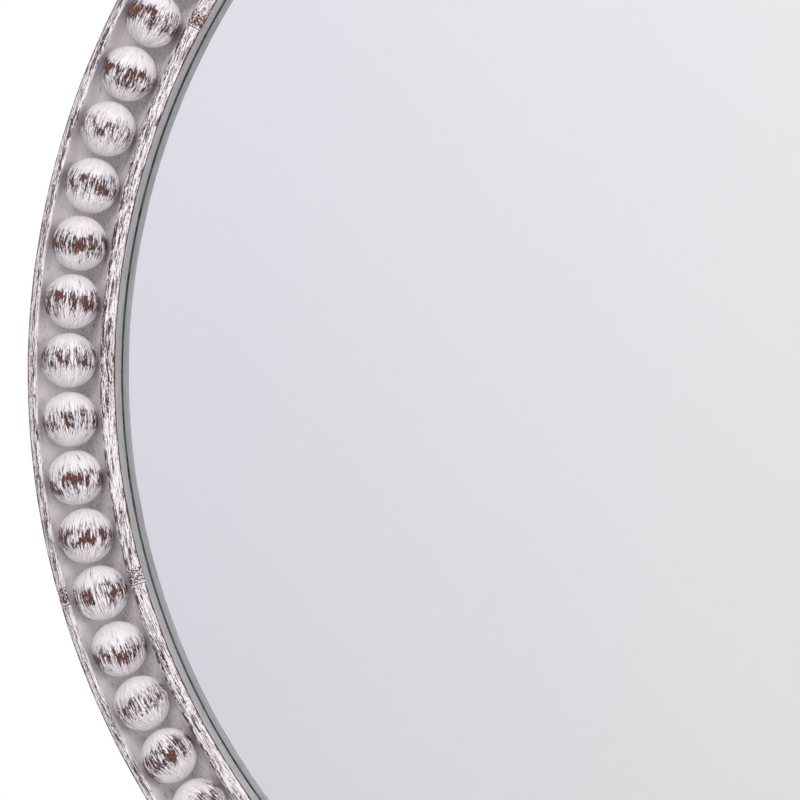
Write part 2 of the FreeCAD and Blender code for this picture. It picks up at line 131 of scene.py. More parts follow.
class NodeSheet:
    """The node tree of one material or of the world."""

    def __init__(self, owner: Union[bpy.types.Material, bpy.types.World]) -> None:
        """Empties a node tree and takes it over.

        Args:
            owner: The material or world that has the tree.
        """
        self.owner = owner
        owner.use_nodes = True
        self.tree = owner.node_tree
        self.tree.nodes.clear()

    @classmethod
    def of_material(cls, name: str) -> "NodeSheet":
        """The empty sheet of a new material."""
        return cls(bpy.data.materials.new(name))

    def node(
        self,
        kind: str,
        settings: Optional[dict[str, Any]] = None,
        values: Optional[dict[Union[int, str], Any]] = None,
        output: Union[int, str] = 0,
    ) -> Optional[Wire]:
        """Adds one node.

        Args:
            kind: The node's type, without its ShaderNode prefix.
            settings: Its properties, set before its sockets. stops are a ramp's positions and colours.
            values: Its input sockets' numbers, colours or wires, by name or place.
            output: The output that the wire leaves from.

        Returns:
            The wire from that output, or None where the node has no outputs.
        """
        item = self.tree.nodes.new("ShaderNode" + kind)
        for name, setting in (settings or {}).items():
            if name == "stops":
                self.set_stops(item.color_ramp, setting)
            else:
                setattr(item, name, setting)
        for key, value in (values or {}).items():
            if isinstance(value, Wire):
                self.tree.links.new(value.socket, item.inputs[key])
            else:
                item.inputs[key].default_value = value
        return Wire(self, item.outputs[output]) if len(item.outputs) else None

    @staticmethod
    def set_stops(ramp: bpy.types.ColorRamp, stops: list[tuple[float, Colour]]) -> None:
        """Gives a ramp its stops.

        Args:
            ramp: The ramp.
            stops: Positions and colours, in rising order.
        """
        while len(ramp.elements) < len(stops):
            ramp.elements.new(1.0)
        for element, (position, colour) in zip(ramp.elements, stops):
            element.position = position
            element.color = colour

    def math(self, operation: str, first: Value, second: Value = 0.0) -> Wire:
        """One Math node on one or two values."""
        return self.node("Math", {"operation": operation}, {0: first, 1: second})

    def clamp(self, value: Value) -> Wire:
        """A value kept between 0 and 1."""
        return self.node("Clamp", None, {0: value})

    def smooth(self, value: Value, low: float, high: float) -> Wire:
        """A smooth step.

        Args:
            value: The value that it follows.
            low: Where it is 0.
            high: Where it is 1. Below low, the step falls.

        Returns:
            The step, from 0 to 1.
        """
        settings = {"interpolation_type": "SMOOTHSTEP"}
        if low < high:
            return self.node("MapRange", settings, {0: value, 1: low, 2: high, 3: 0.0, 4: 1.0})
        return self.node("MapRange", settings, {0: value, 1: high, 2: low, 3: 1.0, 4: 0.0})

    def near(self, value: Value, centre: float, half: float) -> Wire:
        """1 at a value's centre, falling to 0 at half away from it."""
        return self.smooth(self.math("ABSOLUTE", value - centre), half, 0.0)

    def between(self, value: Value, low: float, high: float, edge: float) -> Wire:
        """1 between two values, with soft edges outside them."""
        return self.smooth(value, low - edge, low) * self.smooth(value, high + edge, high)

    def mix(self, share: Value, first: Any, second: Any) -> Wire:
        """A colour between two."""
        return self.node("Mix", {"data_type": "RGBA"}, {0: share, 6: first, 7: second}, 2)

    def vector(self, x: Value, y: Value, z: Value) -> Wire:
        """Three values as one vector."""
        return self.node("CombineXYZ", None, {0: x, 1: y, 2: z})

    def noise(self, place: Wire, scale: float, detail: float = 2.0, roughness: float = 0.5) -> Wire:
        """Cloudy noise round 0.5 at a place."""
        values = {"Vector": place, "Scale": scale, "Detail": detail, "Roughness": roughness}
        return self.node("TexNoise", None, values)

    def object_place(self) -> Wire:
        """The point's own place, in metres."""
        return self.node("TexCoord", None, None, "Object")

    def rays(self) -> tuple[Wire, Wire]:
        """Tells how the point is seen.

        Returns:
            1 where the camera sees it directly, and 1 where metal or glass shows it.
        """
        camera_ray = self.node("LightPath", None, None, "Is Camera Ray")
        glossy_ray, glass_ray = camera_ray.twin("Is Glossy Ray"), camera_ray.twin("Is Transmission Ray")
        return camera_ray, self.math("MAXIMUM", glossy_ray, glass_ray)

    def bump(self, height: Wire, distance: float, strength: float = 1.0) -> Wire:
        """A normal that follows a height between 0 and 1."""
        return self.node("Bump", None, {"Strength": strength, "Distance": distance, "Height": height})

    def surface(self, **sockets: Any) -> Wire:
        """A Principled shader, its sockets named with underscores for spaces."""
        named = {name.replace("_", " "): value for name, value in sockets.items()}
        return self.node("BsdfPrincipled", None, named)

    def finish(self, shader: Wire, world: bool = False) -> None:
        """Joins a shader to the sheet's output."""
        self.node("OutputWorld" if world else "OutputMaterial", None, {"Surface": shader})


# Finishes


@dataclass(frozen=True)
class Whitewash:
    """White paint rubbed through to brown wood, from the whole coat to the darkest grain."""

    paint: Colour = linear(245, 240, 242)
    thin: Colour = linear(192, 184, 188)
    scuff: Colour = linear(120, 106, 113)
    bared: tuple[tuple[float, Colour], ...] = (
        (0.56, linear(150, 135, 143)),
        (0.62, linear(98, 76, 83)),
        (0.69, linear(54, 34, 36)),
        (0.76, linear(84, 46, 34)),
        (0.84, linear(134, 76, 46)),
        (0.95, linear(70, 40, 30)),
    )
    roughness: float = 0.52
    relief: float = 0.0007

    def surface(
        self,
        sheet: NodeSheet,
        veil: Value,
        scratch: Value,
        rub: Wire,
        fine: Wire,
        tint: Optional[tuple[Value, Any]] = None,
    ) -> None:
        """Finishes a sheet with the paint's colour, roughness and relief.

        Args:
            sheet: The material's sheet.
            veil: Where the coat is thin, from 0 to 1.
            scratch: Where fine scratches darken it, from 0 to 1.
            rub: How far the coat is rubbed through: wood shows from about 0.6.
            fine: Fine noise, for the relief.
            tint: A share and a colour laid over the paint, such as the grey sight wall with its painted
                shadow line at the glass.
        """
        bare = sheet.smooth(rub, 0.545, 0.69)
        colour = sheet.mix(veil, self.paint, self.thin)
        colour = sheet.mix(scratch, colour, self.scuff)
        colour = sheet.mix(bare, colour, sheet.node("ValToRGB", {"stops": self.bared}, {0: rub}))
        if tint is not None:
            colour = sheet.mix(tint[0], colour, tint[1])
        sheet.finish(sheet.surface(
            Base_Color=colour,
            Roughness=self.roughness + 0.15 * bare,
            Normal=sheet.bump(0.40 * (1 - bare) + 0.45 * fine + 0.25 * (1 - scratch), self.relief, 0.8),
            Specular_IOR_Level=0.35,
        ))


class Zone(Enum):
    """A zone of the ring's section that wears in its own way."""

    FRONT = "all that stands out to the front"
    LIP = "the lip's top"
    LIP_LINE = "the line along the lip"
    RIM = "the lip's outer arris"
    STEP = "the step at the moulding's foot"
    MIDDLE_LINE = "the line along the moulding"
    MOULDING = "the moulding's top"
    SIGHT = "the arris at the sight edge"
    COVE = "the cove"
    # The cove's inner half, speckled grey partly as patina and partly as painted shade where the beads shade
    # it.
    INNER_COVE = "the cove's inner wall"
    SOILED_COVE = "the cove's soiled part"
    SIDE = "the outer side"
    BACK = "the back"
    FOOT = "the outer side's foot"


Shares = tuple[tuple[Zone, float], ...]


@dataclass(frozen=True)
class RingWood:
    """Whitewashed wood: streaks along the ring, arrises rubbed to brown, a cove speckled grey in its inner
    half, partly as painted shade, joints that show.

    The wear and scratch shares are what each zone adds. The other shares are places along a segment.
    """

    name: str = "ring_wood"
    coat: Whitewash = Whitewash()
    grain_drift: float = 0.15
    grain_shift: float = 3.7
    finger_shares: tuple[float, float] = (0.9708, 0.9714)
    seam_shares: tuple[float, float] = (0.0036, 0.0022)
    crack_shares: tuple[float, float] = (0.0010, 0.0005)
    wear_shares: Shares = (
        (Zone.LIP_LINE, 0.13), (Zone.LIP, -0.03), (Zone.RIM, 0.27), (Zone.MIDDLE_LINE, 0.10),
        (Zone.MOULDING, -0.02), (Zone.STEP, 0.14), (Zone.SIGHT, 0.34), (Zone.INNER_COVE, 0.03),
        (Zone.SIDE, 0.05), (Zone.BACK, 0.40), (Zone.FOOT, 0.17), (Zone.COVE, -0.14),
    )
    scratch_base: float = 0.40
    scratch_shares: Shares = (
        (Zone.LIP, 0.15), (Zone.LIP_LINE, 0.45), (Zone.MOULDING, 0.10), (Zone.MIDDLE_LINE, 0.40),
        (Zone.STEP, 0.50), (Zone.COVE, -0.38), (Zone.INNER_COVE, 0.22),
    )

    def zones(self, sheet: NodeSheet, radius: Wire, level: Wire) -> dict[Zone, Wire]:
        """Marks the section's zones by their radii and levels in millimetres.

        Args:
            sheet: The material's sheet.
            radius: The point's distance from the ring's axis.
            level: The point's distance from the wall.

        Returns:
            How far the point lies in each zone, from 0 to 1.
        """
        smooth, near, between = sheet.smooth, sheet.near, sheet.between
        front, top = smooth(level, 21.5, 22.8), smooth(level, 25.3, 25.7)
        cove = between(radius, 272.9, 295.6, 0.5) * smooth(level, 14.0, 14.8)
        return {
            Zone.FRONT: front,
            Zone.LIP: between(radius, 296.4, 300.0, 0.7) * front,
            Zone.LIP_LINE: near(radius, 297.6, 1.0) * front,
            Zone.RIM: smooth(radius, 298.9, 299.7) * smooth(level, 21.6, 22.6),
            Zone.STEP: near(radius, 271.6, 1.3) * smooth(level, 23.4, 24.2),
            Zone.MIDDLE_LINE: near(radius, 269.4, 0.9) * top,
            Zone.MOULDING: between(radius, 266.8, 271.3, 0.3) * top,
            Zone.SIGHT: smooth(radius, 267.0, 266.75) * smooth(level, 24.9, 25.2),
            Zone.COVE: cove,
            Zone.INNER_COVE: between(radius, 272.3, 275.0, 2.0) * cove,
            Zone.SOILED_COVE: between(radius, 274.0, 281.0, 3.0) * cove,
            Zone.SIDE: smooth(radius, 299.5, 299.8) * smooth(level, 21.4, 20.6),
            Zone.BACK: smooth(level, 5.6, 5.1),
            Zone.FOOT: near(level, 5.2, 1.6) * smooth(radius, 298.0, 299.4),
        }

    def sight_wall(self, sheet: NodeSheet, run: Wire, radius: Wire, level: Wire) -> tuple[Wire, Wire]:
        """Colours the wall between the sight edge and the glass.

        Args:
            sheet: The material's sheet.
            run: The point's way round the ring.
            radius: The point's distance from the ring's axis.
            level: The point's distance from the wall behind the mirror.

        Returns:
            The colour's share over the paint, and the colour: pale grey, with a painted shadow line at its
            foot by the glass.
        """
        share = sheet.smooth(radius, 266.9, 266.6) * sheet.smooth(level, 24.6, 24.0)
        # Painted shadow: the wall's lowest 0.1 to 0.3 mm, at the glass, is coloured dark grey as the shadow
        # in the gap there.
        painted_shadow_line = sheet.smooth(level, 13.3, 13.1)
        lines = sheet.noise(sheet.vector(run / 40, level / 0.5, 0.0), 1.0, 2.0, 0.6)
        grey = sheet.mix(sheet.smooth(lines, 0.35, 0.65), linear(198, 201, 204), linear(216, 216, 218))
        return share * 0.85, sheet.mix(painted_shadow_line, grey, linear(66, 66, 68))

    def make(self) -> bpy.types.Material:
        """Builds the material.

        Returns:
            The material, for every wooden segment.
        """
        sheet = NodeSheet.of_material(self.name)
        x = sheet.node("SeparateXYZ", None, {0: sheet.object_place()})
        level, z = x.twin("Y") * (-1 / MM), x.twin("Z")
        radius = sheet.math("SQRT", x * x + z * z) * (1 / MM)
        turn = math.radians(360 - JOINT_ANGLE)
        turned_x = x * math.cos(turn) - z * math.sin(turn)
        turned_z = x * math.sin(turn) + z * math.cos(turn)
        angle = sheet.math("ARCTAN2", turned_z, turned_x)
        odd = sheet.math("MODULO", sheet.math("FLOOR", (level - BACK_LEVEL) / FINGER_HEIGHT), 2.0)
        steps = angle * (SEGMENTS / math.tau) + SEGMENTS / 2 - odd * (FINGER_ANGLE / SEGMENT_ANGLE)
        segment = sheet.math("FLOOR", steps)
        into = steps - segment
        bow = (into - 0.5) * math.radians(SEGMENT_ANGLE)
        run = angle * COVE_CIRCLE
        across = radius - bow * bow * (self.grain_drift * COVE_CIRCLE / 2) + segment * self.grain_shift

        def clouds(length: float, width: float, detail: float, roughness: float = 0.5) -> Wire:
            """Noise drawn out along the ring, by the length and width of its clouds in millimetres."""
            place = sheet.vector(run / length, across / width, level / width)
            return sheet.noise(place, 1.0, detail, roughness)

        fibre = clouds(4.2, 0.42, 3.0, 0.6)
        broad = clouds(20, 1.1, 2.0)
        specks = clouds(1.1, 0.5, 3.0, 0.65)
        patches = clouds(9, 4, 1.0)
        hairs = sheet.noise(sheet.vector(run / 6.0, across / 0.40 + 9, level / 0.40), 1.0, 2.0, 0.55)
        pores = clouds(0.75, 0.7, 1.0)

        zones = self.zones(sheet, radius, level)
        cove, greyed = zones[Zone.COVE], zones[Zone.SOILED_COVE]
        finger_end = sheet.smooth(into, *self.finger_shares)
        band = finger_end * odd * sheet.smooth(level, 21.0, 21.4) * (1 - cove)
        seam_gap = sheet.math("MINIMUM", into, 1 - into)
        seam = sheet.smooth(seam_gap, *self.seam_shares)
        crack = sheet.smooth(seam_gap, *self.crack_shares) * (1 - 0.8 * cove)

        wear = sum(share * zones[zone] for zone, share in self.wear_shares)
        grain = 1.2 * fibre + 0.25 * broad + 0.5 * specks - 0.475
        cells = 1.5 * pores + 0.6 * specks - 0.40
        rub = grain * (1 - band) + cells * band + wear * (1 - 0.8 * band)
        rub = rub + 0.3 * (patches - 0.5) * (1 - 0.7 * cove)
        rub = rub - 0.35 * seam * zones[Zone.FRONT] * (1 - crack)
        veil = sheet.smooth(0.6 * hairs + 0.4 * specks, 0.44, 0.60) * (0.80 - 0.60 * cove)
        streaks = hairs + 0.4 * (specks - 0.5) + 0.3 * (patches - 0.5)
        rough = self.scratch_base + sum(share * zones[zone] for zone, share in self.scratch_shares)
        scratch = sheet.smooth(streaks, 0.52, 0.58) * sheet.clamp(rough)
        # Grey speckles: sparse ones over the whole cove, and denser ones over its inner half, which are
        # partly patina and partly painted shade where the beads shade that half.
        speckle = sheet.smooth(specks + 0.4 * (pores - 0.5), 0.52, 0.60) * (0.06 * cove + 0.22 * greyed)
        scratch = sheet.math("MAXIMUM", sheet.math("MAXIMUM", scratch, speckle), crack)
        wall = self.sight_wall(sheet, run, radius, level)
        self.coat.surface(sheet, veil, scratch, rub, 0.5 * fibre + 0.5 * specks, wall)
        return sheet.owner


@dataclass(frozen=True)
class BeadWood:
    """Whitewashed turned balls, each rubbed through over its crown in streaks along the ring."""

    name: str = "bead_wood"
    coat: Whitewash = Whitewash()

    def make(self) -> bpy.types.Material:
        """Builds the material, which reads each ball's own place and mark.

        Returns:
            The material, for every ball.
        """
        sheet = NodeSheet.of_material(self.name)
        place = sheet.node("Attribute", {"attribute_name": "ball_place"}, None, "Vector")
        mark = sheet.node("Attribute", {"attribute_name": "ball_mark"}, None, "Fac")
        along = sheet.node("SeparateXYZ", None, {0: place})
        outward, front = along.twin("Y"), along.twin("Z")
        seed = mark * 57.0
        other_mark = sheet.math("FRACT", mark * 7.31)
        around = sheet.math("ARCTAN2", outward, front)
        fibre = sheet.noise(sheet.vector(along * 2.1 + seed, around * 13 + seed, seed), 1.0, 3.0, 0.65)
        hairs = sheet.noise(sheet.vector(along * 1.7, around * 21 + seed, seed), 1.0, 2.0, 0.6)
        broad = sheet.noise(sheet.vector(along * 1.2, around * 4.2 + seed, seed), 1.0, 2.0, 0.5)
        specks = sheet.noise(sheet.vector(along * 8, around * 22 + seed, seed), 1.0, 3.0, 0.65)
        clouds = sheet.noise(sheet.vector(along * 2.2 + seed, around * 2.2, seed), 1.0, 1.0, 0.5)
        middle = along - 0.05 + 0.24 * (mark - 0.5)
        reach = sheet.math("ABSOLUTE", middle) + 0.9 * (broad - 0.5)
        band = sheet.smooth(reach, 0.74, 0.10)
        outer = sheet.smooth(outward, 0.55, 0.85) * sheet.smooth(reach, 0.9, 0.4)
        wear = band * (0.19 + 0.11 * other_mark) + 0.07 * outer - 0.12
        rub = fibre + 0.5 * broad + 0.6 * specks - 0.55 + wear + 0.6 * (clouds - 0.5) * band
        # The veil is heavier towards one end of each ball along the ring, which on the mirror's left side is
        # its lower end, so the balls there are greyer towards the bottom.
        greyed = sheet.smooth(along, 0.1, 0.9)
        thin = sheet.smooth(0.5 * fibre + 0.5 * specks + 0.05 * greyed, 0.43, 0.62)
        veil = thin * (0.30 + 0.45 * band + 0.35 * greyed)
        scratch = sheet.smooth(hairs + 0.3 * (specks - 0.5), 0.50, 0.60) * (0.12 + 0.70 * band + 0.3 * outer)
        self.coat.surface(sheet, veil, scratch, rub, 0.5 * fibre + 0.5 * specks)
        return sheet.owner


@dataclass(frozen=True)
class ClearGlass:
    """Float glass with the faintest green and a little dust."""

    name: str = "clear_glass"

    def make(self) -> bpy.types.Material:
        """Builds the material.

        Returns:
            The material of the glass's front and edge.
        """
        sheet = NodeSheet.of_material(self.name)
        dust = sheet.noise(sheet.object_place(), 9.0, 2.0, 0.5)
        sheet.finish(sheet.surface(
            Base_Color=linear(254, 255, 254),
            Roughness=0.004 * dust,
            IOR=1.5,
            Transmission_Weight=1.0,
        ))
        return sheet.owner


@dataclass(frozen=True)
class Silvering:
    """The mirror's silver, seen through the glass."""

    name: str = "silvering"

    def make(self) -> bpy.types.Material:
        """Builds the material.

        Returns:
            The material of the glass's silvered back.
        """
        sheet = NodeSheet.of_material(self.name)
        haze = sheet.noise(sheet.object_place(), 14.0, 2.0, 0.5)
        sheet.finish(sheet.surface(
            Base_Color=linear(224, 224, 226),
            Metallic=1.0,
            Roughness=0.003 * haze,
        ))
        return sheet.owner


@dataclass(frozen=True)
class Speckled:
    """A plain matt finish whose tone varies a little: foam, paint, board or rubber."""

    name: str
    first: Colour
    second: Colour
    scale: float
    roughness: float
    relief: float
    stretch: float = 1.0

    def make(self) -> bpy.types.Material:
        """Builds the material.

        Returns:
            The material, with its tone and relief from one fine and one broad noise.
        """
        sheet = NodeSheet.of_material(self.name)
        place = sheet.node("Mapping", None, {"Vector": sheet.object_place(), "Scale": (self.stretch, 1, 1)})
        fine = sheet.noise(place, self.scale, 4.0, 0.6)
        broad = sheet.noise(place, self.scale / 25, 2.0, 0.5)
        share = sheet.smooth(0.88 * fine + 0.12 * broad, 0.34, 0.66)
        sheet.finish(sheet.surface(
            Base_Color=sheet.mix(share, self.first, self.second),
            Roughness=self.roughness + 0.12 * (fine - 0.5),
            Normal=sheet.bump(fine, self.relief, 0.6),
        ))
        return sheet.owner


@dataclass(frozen=True)
class PlatedSteel:
    """Bright plated steel with rubbed marks and a little dulling."""

    name: str
    tint: Colour
    dull: Colour
    roughness: float = 0.32

    def make(self) -> bpy.types.Material:
        """Builds the material.

        Returns:
            The material, with fine rubbing along X and soft spots.
        """
        sheet = NodeSheet.of_material(self.name)
        place = sheet.node("Mapping", None, {"Vector": sheet.object_place(), "Scale": (0.15, 1, 1)})
        rubbed = sheet.noise(place, 2600.0, 2.0, 0.5)
        spots = sheet.noise(sheet.object_place(), 420.0, 3.0, 0.6)
        sheet.finish(sheet.surface(
            Base_Color=sheet.mix(sheet.smooth(spots, 0.45, 0.75), self.tint, self.dull),
            Metallic=1.0,
            Roughness=self.roughness + 0.25 * (rubbed - 0.5) + 0.2 * (spots - 0.5),
            Normal=sheet.bump(rubbed, 0.00004, 0.4),
        ))
        return sheet.owner


# Modelling


class Grip(Enum):
    """What an edit-mode selection takes hold of."""

    CORNERS = "VERT"
    EDGES = "EDGE"
    FACES = "FACE"


Test = Callable[[Vector, Vector], bool]
Point = tuple[float, float]
Plane = Callable[[float, float], Vector]


def put_down() -> None:
    """Leaves edit mode and deselects everything."""
    if bpy.context.object is not None and bpy.context.object.mode != "OBJECT":
        bpy.ops.object.mode_set(mode="OBJECT")
    bpy.ops.object.select_all(action="DESELECT")


def take_up(*pieces: bpy.types.Object) -> None:
    """Selects pieces and nothing else.

    Args:
        pieces: The pieces, of which the first becomes the active one.
    """
    put_down()
    for piece in pieces:
        piece.select_set(True)
    bpy.context.view_layer.objects.active = pieces[0]


def open_up(piece: bpy.types.Object) -> None:
    """Goes into edit mode on one piece."""
    take_up(piece)
    bpy.ops.object.mode_set(mode="EDIT")


def choose_all(grip: Grip) -> None:
    """Selects the whole piece, in edit mode."""
    bpy.ops.mesh.select_mode(type=grip.value)
    bpy.ops.mesh.select_all(action="SELECT")


def choose(grip: Grip, test: Test) -> int:
    """Selects, in edit mode, what passes a test.

    Args:
        grip: Corners, edges or faces.
        test: Takes the place and the normal, or an edge's direction, and says whether to select.

    Returns:
        How many were selected.
    """
    bpy.ops.mesh.select_mode(type=grip.value)
    bpy.ops.mesh.select_all(action="DESELECT")
    data = bpy.context.object.data
    mesh = bmesh.from_edit_mesh(data)
    mesh.normal_update()
    if grip is Grip.CORNERS:
        found = [item for item in mesh.verts if test(item.co, item.normal)]
    elif grip is Grip.EDGES:
        found = []
        for item in mesh.edges:
            first, last = (corner.co for corner in item.verts)
            if test((first + last) / 2, (first - last).normalized()):
                found.append(item)
    else:
        found = [item for item in mesh.faces if test(item.calc_center_median(), item.normal)]
    for item in found:
        item.select = True
    mesh.select_flush_mode()
    bmesh.update_edit_mesh(data)
    return len(found)


def close_shell(smooth_angle: float = 35.0) -> bpy.types.Object:
    """Merges doubles, points the faces outwards, leaves edit mode and smooths all but the sharp edges.

    Args:
        smooth_angle: The angle in degrees from which an edge stays sharp.

    Returns:
        The piece.
    """
    choose_all(Grip.CORNERS)
    bpy.ops.mesh.remove_doubles(threshold=DOUBLES)
    bpy.ops.mesh.normals_make_consistent(inside=False)
    bpy.ops.object.mode_set(mode="OBJECT")
    piece = bpy.context.object
    bpy.ops.object.shade_smooth_by_angle(angle=math.radians(smooth_angle))
    return piece


def place_piece(piece: bpy.types.Object, matrix: Matrix) -> bpy.types.Object:
    """Moves and turns a piece, with the change kept in its mesh.

    Args:
        piece: The piece.
        matrix: The move and turn.

    Returns:
        The same piece.
    """
    take_up(piece)
    piece.matrix_world = matrix
    bpy.ops.object.transform_apply(location=True, rotation=True, scale=True)
    return piece


def copy_piece(template: bpy.types.Object, name: str, matrix: Matrix) -> bpy.types.Object:
    """Copies a piece, and places the copy.

    Args:
        template: The piece to copy.
        name: The copy's name.
        matrix: The copy's move and turn.

    Returns:
        The copy, with its own mesh.
    """
    take_up(template)
    bpy.ops.object.duplicate()
    copy = bpy.context.object
    copy.name = copy.data.name = name
    return place_piece(copy, matrix)


def ring_turn(angle: float) -> Matrix:
    """A turn about the ring's axis, from +X towards +Z, in degrees."""
    return Matrix.Rotation(-math.radians(angle), 4, "Y")


def drop(*pieces: bpy.types.Object) -> None:
    """Removes templates and cutters."""
    for piece in pieces:
        bpy.data.objects.remove(piece)


def join_pieces(pieces: list[bpy.types.Object], name: str) -> bpy.types.Object:
    """Joins pieces into one.

    Args:
        pieces: The pieces.
        name: The joined piece's name.

    Returns:
        The joined piece.
    """
    take_up(*pieces)
    if len(pieces) > 1:
        bpy.ops.object.join()
    joined = bpy.context.object
    joined.name = joined.data.name = name
    return joined


def coat(piece: bpy.types.Object, finish: bpy.types.Material) -> None:
    """Gives a piece one finish all over."""
    piece.data.materials.clear()
    piece.data.materials.append(finish)


def stand_in(
    piece: bpy.types.Object,
    node: str,
    finish: Optional[bpy.types.Material] = None,
    body: str = "mirror",
) -> None:
    """Puts a finished piece in a CAD node's place and reports it.

    Args:
        piece: The piece.
        node: The CAD node that it stands for.
        finish: Its finish, unless it already wears one.
        body: The body that it moves with.
    """
    if finish is not None:
        coat(piece, finish)
    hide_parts(node)
    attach(piece, body)
    LOG.info("%s: %d faces, for %s", piece.name, len(piece.data.polygons), node)


def add_modifier(piece: bpy.types.Object, kind: str, **settings: Any) -> None:
    """Adds one modifier and applies it.

    Args:
        piece: The piece.
        kind: The modifier's type.
        settings: Its properties.
    """
    take_up(piece)
    bpy.ops.object.modifier_add(type=kind)
    modifier = piece.modifiers[-1]
    for name, value in settings.items():
        setattr(modifier, name, value)
    bpy.ops.object.modifier_apply(modifier=modifier.name)


def cut_away(piece: bpy.types.Object, cutter: bpy.types.Object) -> None:
    """Takes a cutter's shape out of a piece, and removes the cutter."""
    add_modifier(piece, "BOOLEAN", operation="DIFFERENCE", solver="EXACT", object=cutter)
    drop(cutter)


def drill(piece: bpy.types.Object, radius: float, start: Vector, end: Vector, sides: int = 24) -> None:
    """Takes a round hole out of a piece.

    Args:
        piece: The piece.
        radius: The hole's radius in millimetres.
        start: The middle of the drill's one end.
        end: The middle of its other end.
        sides: How many sides the hole has.
    """
    put_down()
    way = end - start
    bpy.ops.mesh.primitive_cylinder_add(vertices=sides, radius=radius * MM, depth=way.length)
    turn = way.to_track_quat("Z", "Y").to_matrix().to_4x4()
    cut_away(piece, place_piece(bpy.context.object, Matrix.Translation((start + end) / 2) @ turn))


def round_edges(piece: bpy.types.Object, radius: float, steps: int, test: Test) -> None:
    """Rounds the edges of a piece that pass a test.

    Args:
        piece: The piece.
        radius: The round's radius in millimetres.
        steps: How many faces the round has.
        test: Takes an edge's middle and direction, and says whether to round it.
    """
    open_up(piece)
    choose(Grip.EDGES, test)
    bpy.ops.mesh.bevel(offset=radius * MM, segments=steps, affect="EDGES")
    close_shell()


def ease_edges(piece: bpy.types.Object, width: float, steps: int = 2, angle: float = 40.0) -> None:
    """Rounds every sharp edge a little.

    Args:
        piece: The piece.
        width: The round's width in millimetres.
        steps: How many faces the round has.
        angle: The angle in degrees from which an edge is sharp.
    """
    limit = math.radians(angle)
    add_modifier(piece, "BEVEL", width=width * MM, segments=steps, limit_method="ANGLE", angle_limit=limit)
    open_up(piece)
    close_shell()


def own_plane(across: float, up: float) -> Vector:
    """A point of a small piece's own section, in millimetres."""
    return Vector((across * MM, up * MM, 0))


def front_plane(radius: float, level: float) -> Vector:
    """A point of the ring's section, from its radius and its distance from the wall in millimetres."""
    return own_plane(radius, -level)


def back_plane(radius: float, height: float) -> Vector:
    """A point over the ring's back, from its radius and its height towards the wall in millimetres."""
    return own_plane(radius, height - BACK_LEVEL)


class Outline:
    """An outline drawn in the plane Z = 0, by drawing one corner out to the next, in millimetres."""

    def __init__(self, name: str, plane: Plane, start: Point) -> None:
        """Starts an outline.

        Args:
            name: The piece's name.
            plane: Places the outline's points.
            start: Its first point.
        """
        put_down()
        self.plane = plane
        self.tip = plane(*start)
        bpy.ops.mesh.primitive_plane_add(size=MM, location=self.tip)
        bpy.ops.object.transform_apply(location=True)
        bpy.context.object.name = name
        bpy.ops.object.mode_set(mode="EDIT")
        choose_all(Grip.CORNERS)
        bpy.ops.mesh.merge(type="CENTER")

    def line_to(self, *points: Point) -> None:
        """Draws straight runs.

        Args:
            points: The points that they pass through.
        """
        for point in points:
            end = self.plane(*point)
            bpy.ops.mesh.extrude_vertices_move(TRANSFORM_OT_translate={"value": tuple(end - self.tip)})
            self.tip = end

    def bend_to(self, point: Point, radius: float, side: int, steps: int) -> None:
        """Draws an arc.

        Args:
            point: Where it ends.
            radius: Its radius.
            side: 1 with the centre on the left of its way and -1 on the right.
            steps: How many runs it has.
        """
        end = self.plane(*point)
        way = end - self.tip
        left = Vector((-way.y, way.x, 0)).normalized()
        reach = math.sqrt((radius * MM) ** 2 - (way.length / 2) ** 2)
        centre = (self.tip + end) / 2 + left * (side * reach)
        first, last = self.tip - centre, end - centre
        turn = math.atan2(first.x * last.y - first.y * last.x, first.dot(last))
        bpy.ops.mesh.spin(steps=steps, angle=-turn, center=centre, axis=(0, 0, 1))
        self.tip = end

    def fill(self) -> None:
        """Closes the outline with a face."""
        choose_all(Grip.CORNERS)
        bpy.ops.mesh.edge_face_add()

    def round_corner(self, point: Point, radius: float, steps: int = 3) -> None:
        """Rounds one corner of a filled outline.

        Args:
            point: The corner.
            radius: The round's radius.
            steps: How many runs the round has.
        """
        corner = self.plane(*point)
        if choose(Grip.CORNERS, lambda place, _: (place - corner).length < CLOSE_BY) != 1:
            raise ValueError(f"no corner at {point}")
        bpy.ops.mesh.bevel(offset=radius * MM, segments=steps, affect="VERTICES")

    def spin_round(self, angle: float, steps: int) -> None:
        """Turns a filled outline about the ring's axis, from +X towards +Z, in degrees."""
        choose_all(Grip.FACES)
        bpy.ops.mesh.spin(steps=steps, angle=math.radians(angle), center=(0, 0, 0), axis=(0, 1, 0))

    def lathe(self, steps: int) -> bpy.types.Object:
        """Turns an open outline once about the Y axis and closes the shell.

        Args:
            steps: How many steps the turn has.

        Returns:
            The turned piece.
        """
        choose_all(Grip.EDGES)
        bpy.ops.mesh.spin(steps=steps, angle=math.tau, center=(0, 0, 0), axis=(0, 1, 0))
        return close_shell()

    def raise_up(self, width: float) -> bpy.types.Object:
        """Draws a filled outline out along Z, centred on its plane, and closes the shell.

        Args:
            width: The piece's width.

        Returns:
            The piece.
        """
        choose_all(Grip.FACES)
        bpy.ops.mesh.extrude_region_move(TRANSFORM_OT_translate={"value": (0, 0, width * MM)})
        return place_piece(close_shell(), Matrix.Translation((0, 0, -width * MM / 2)))


# The ring


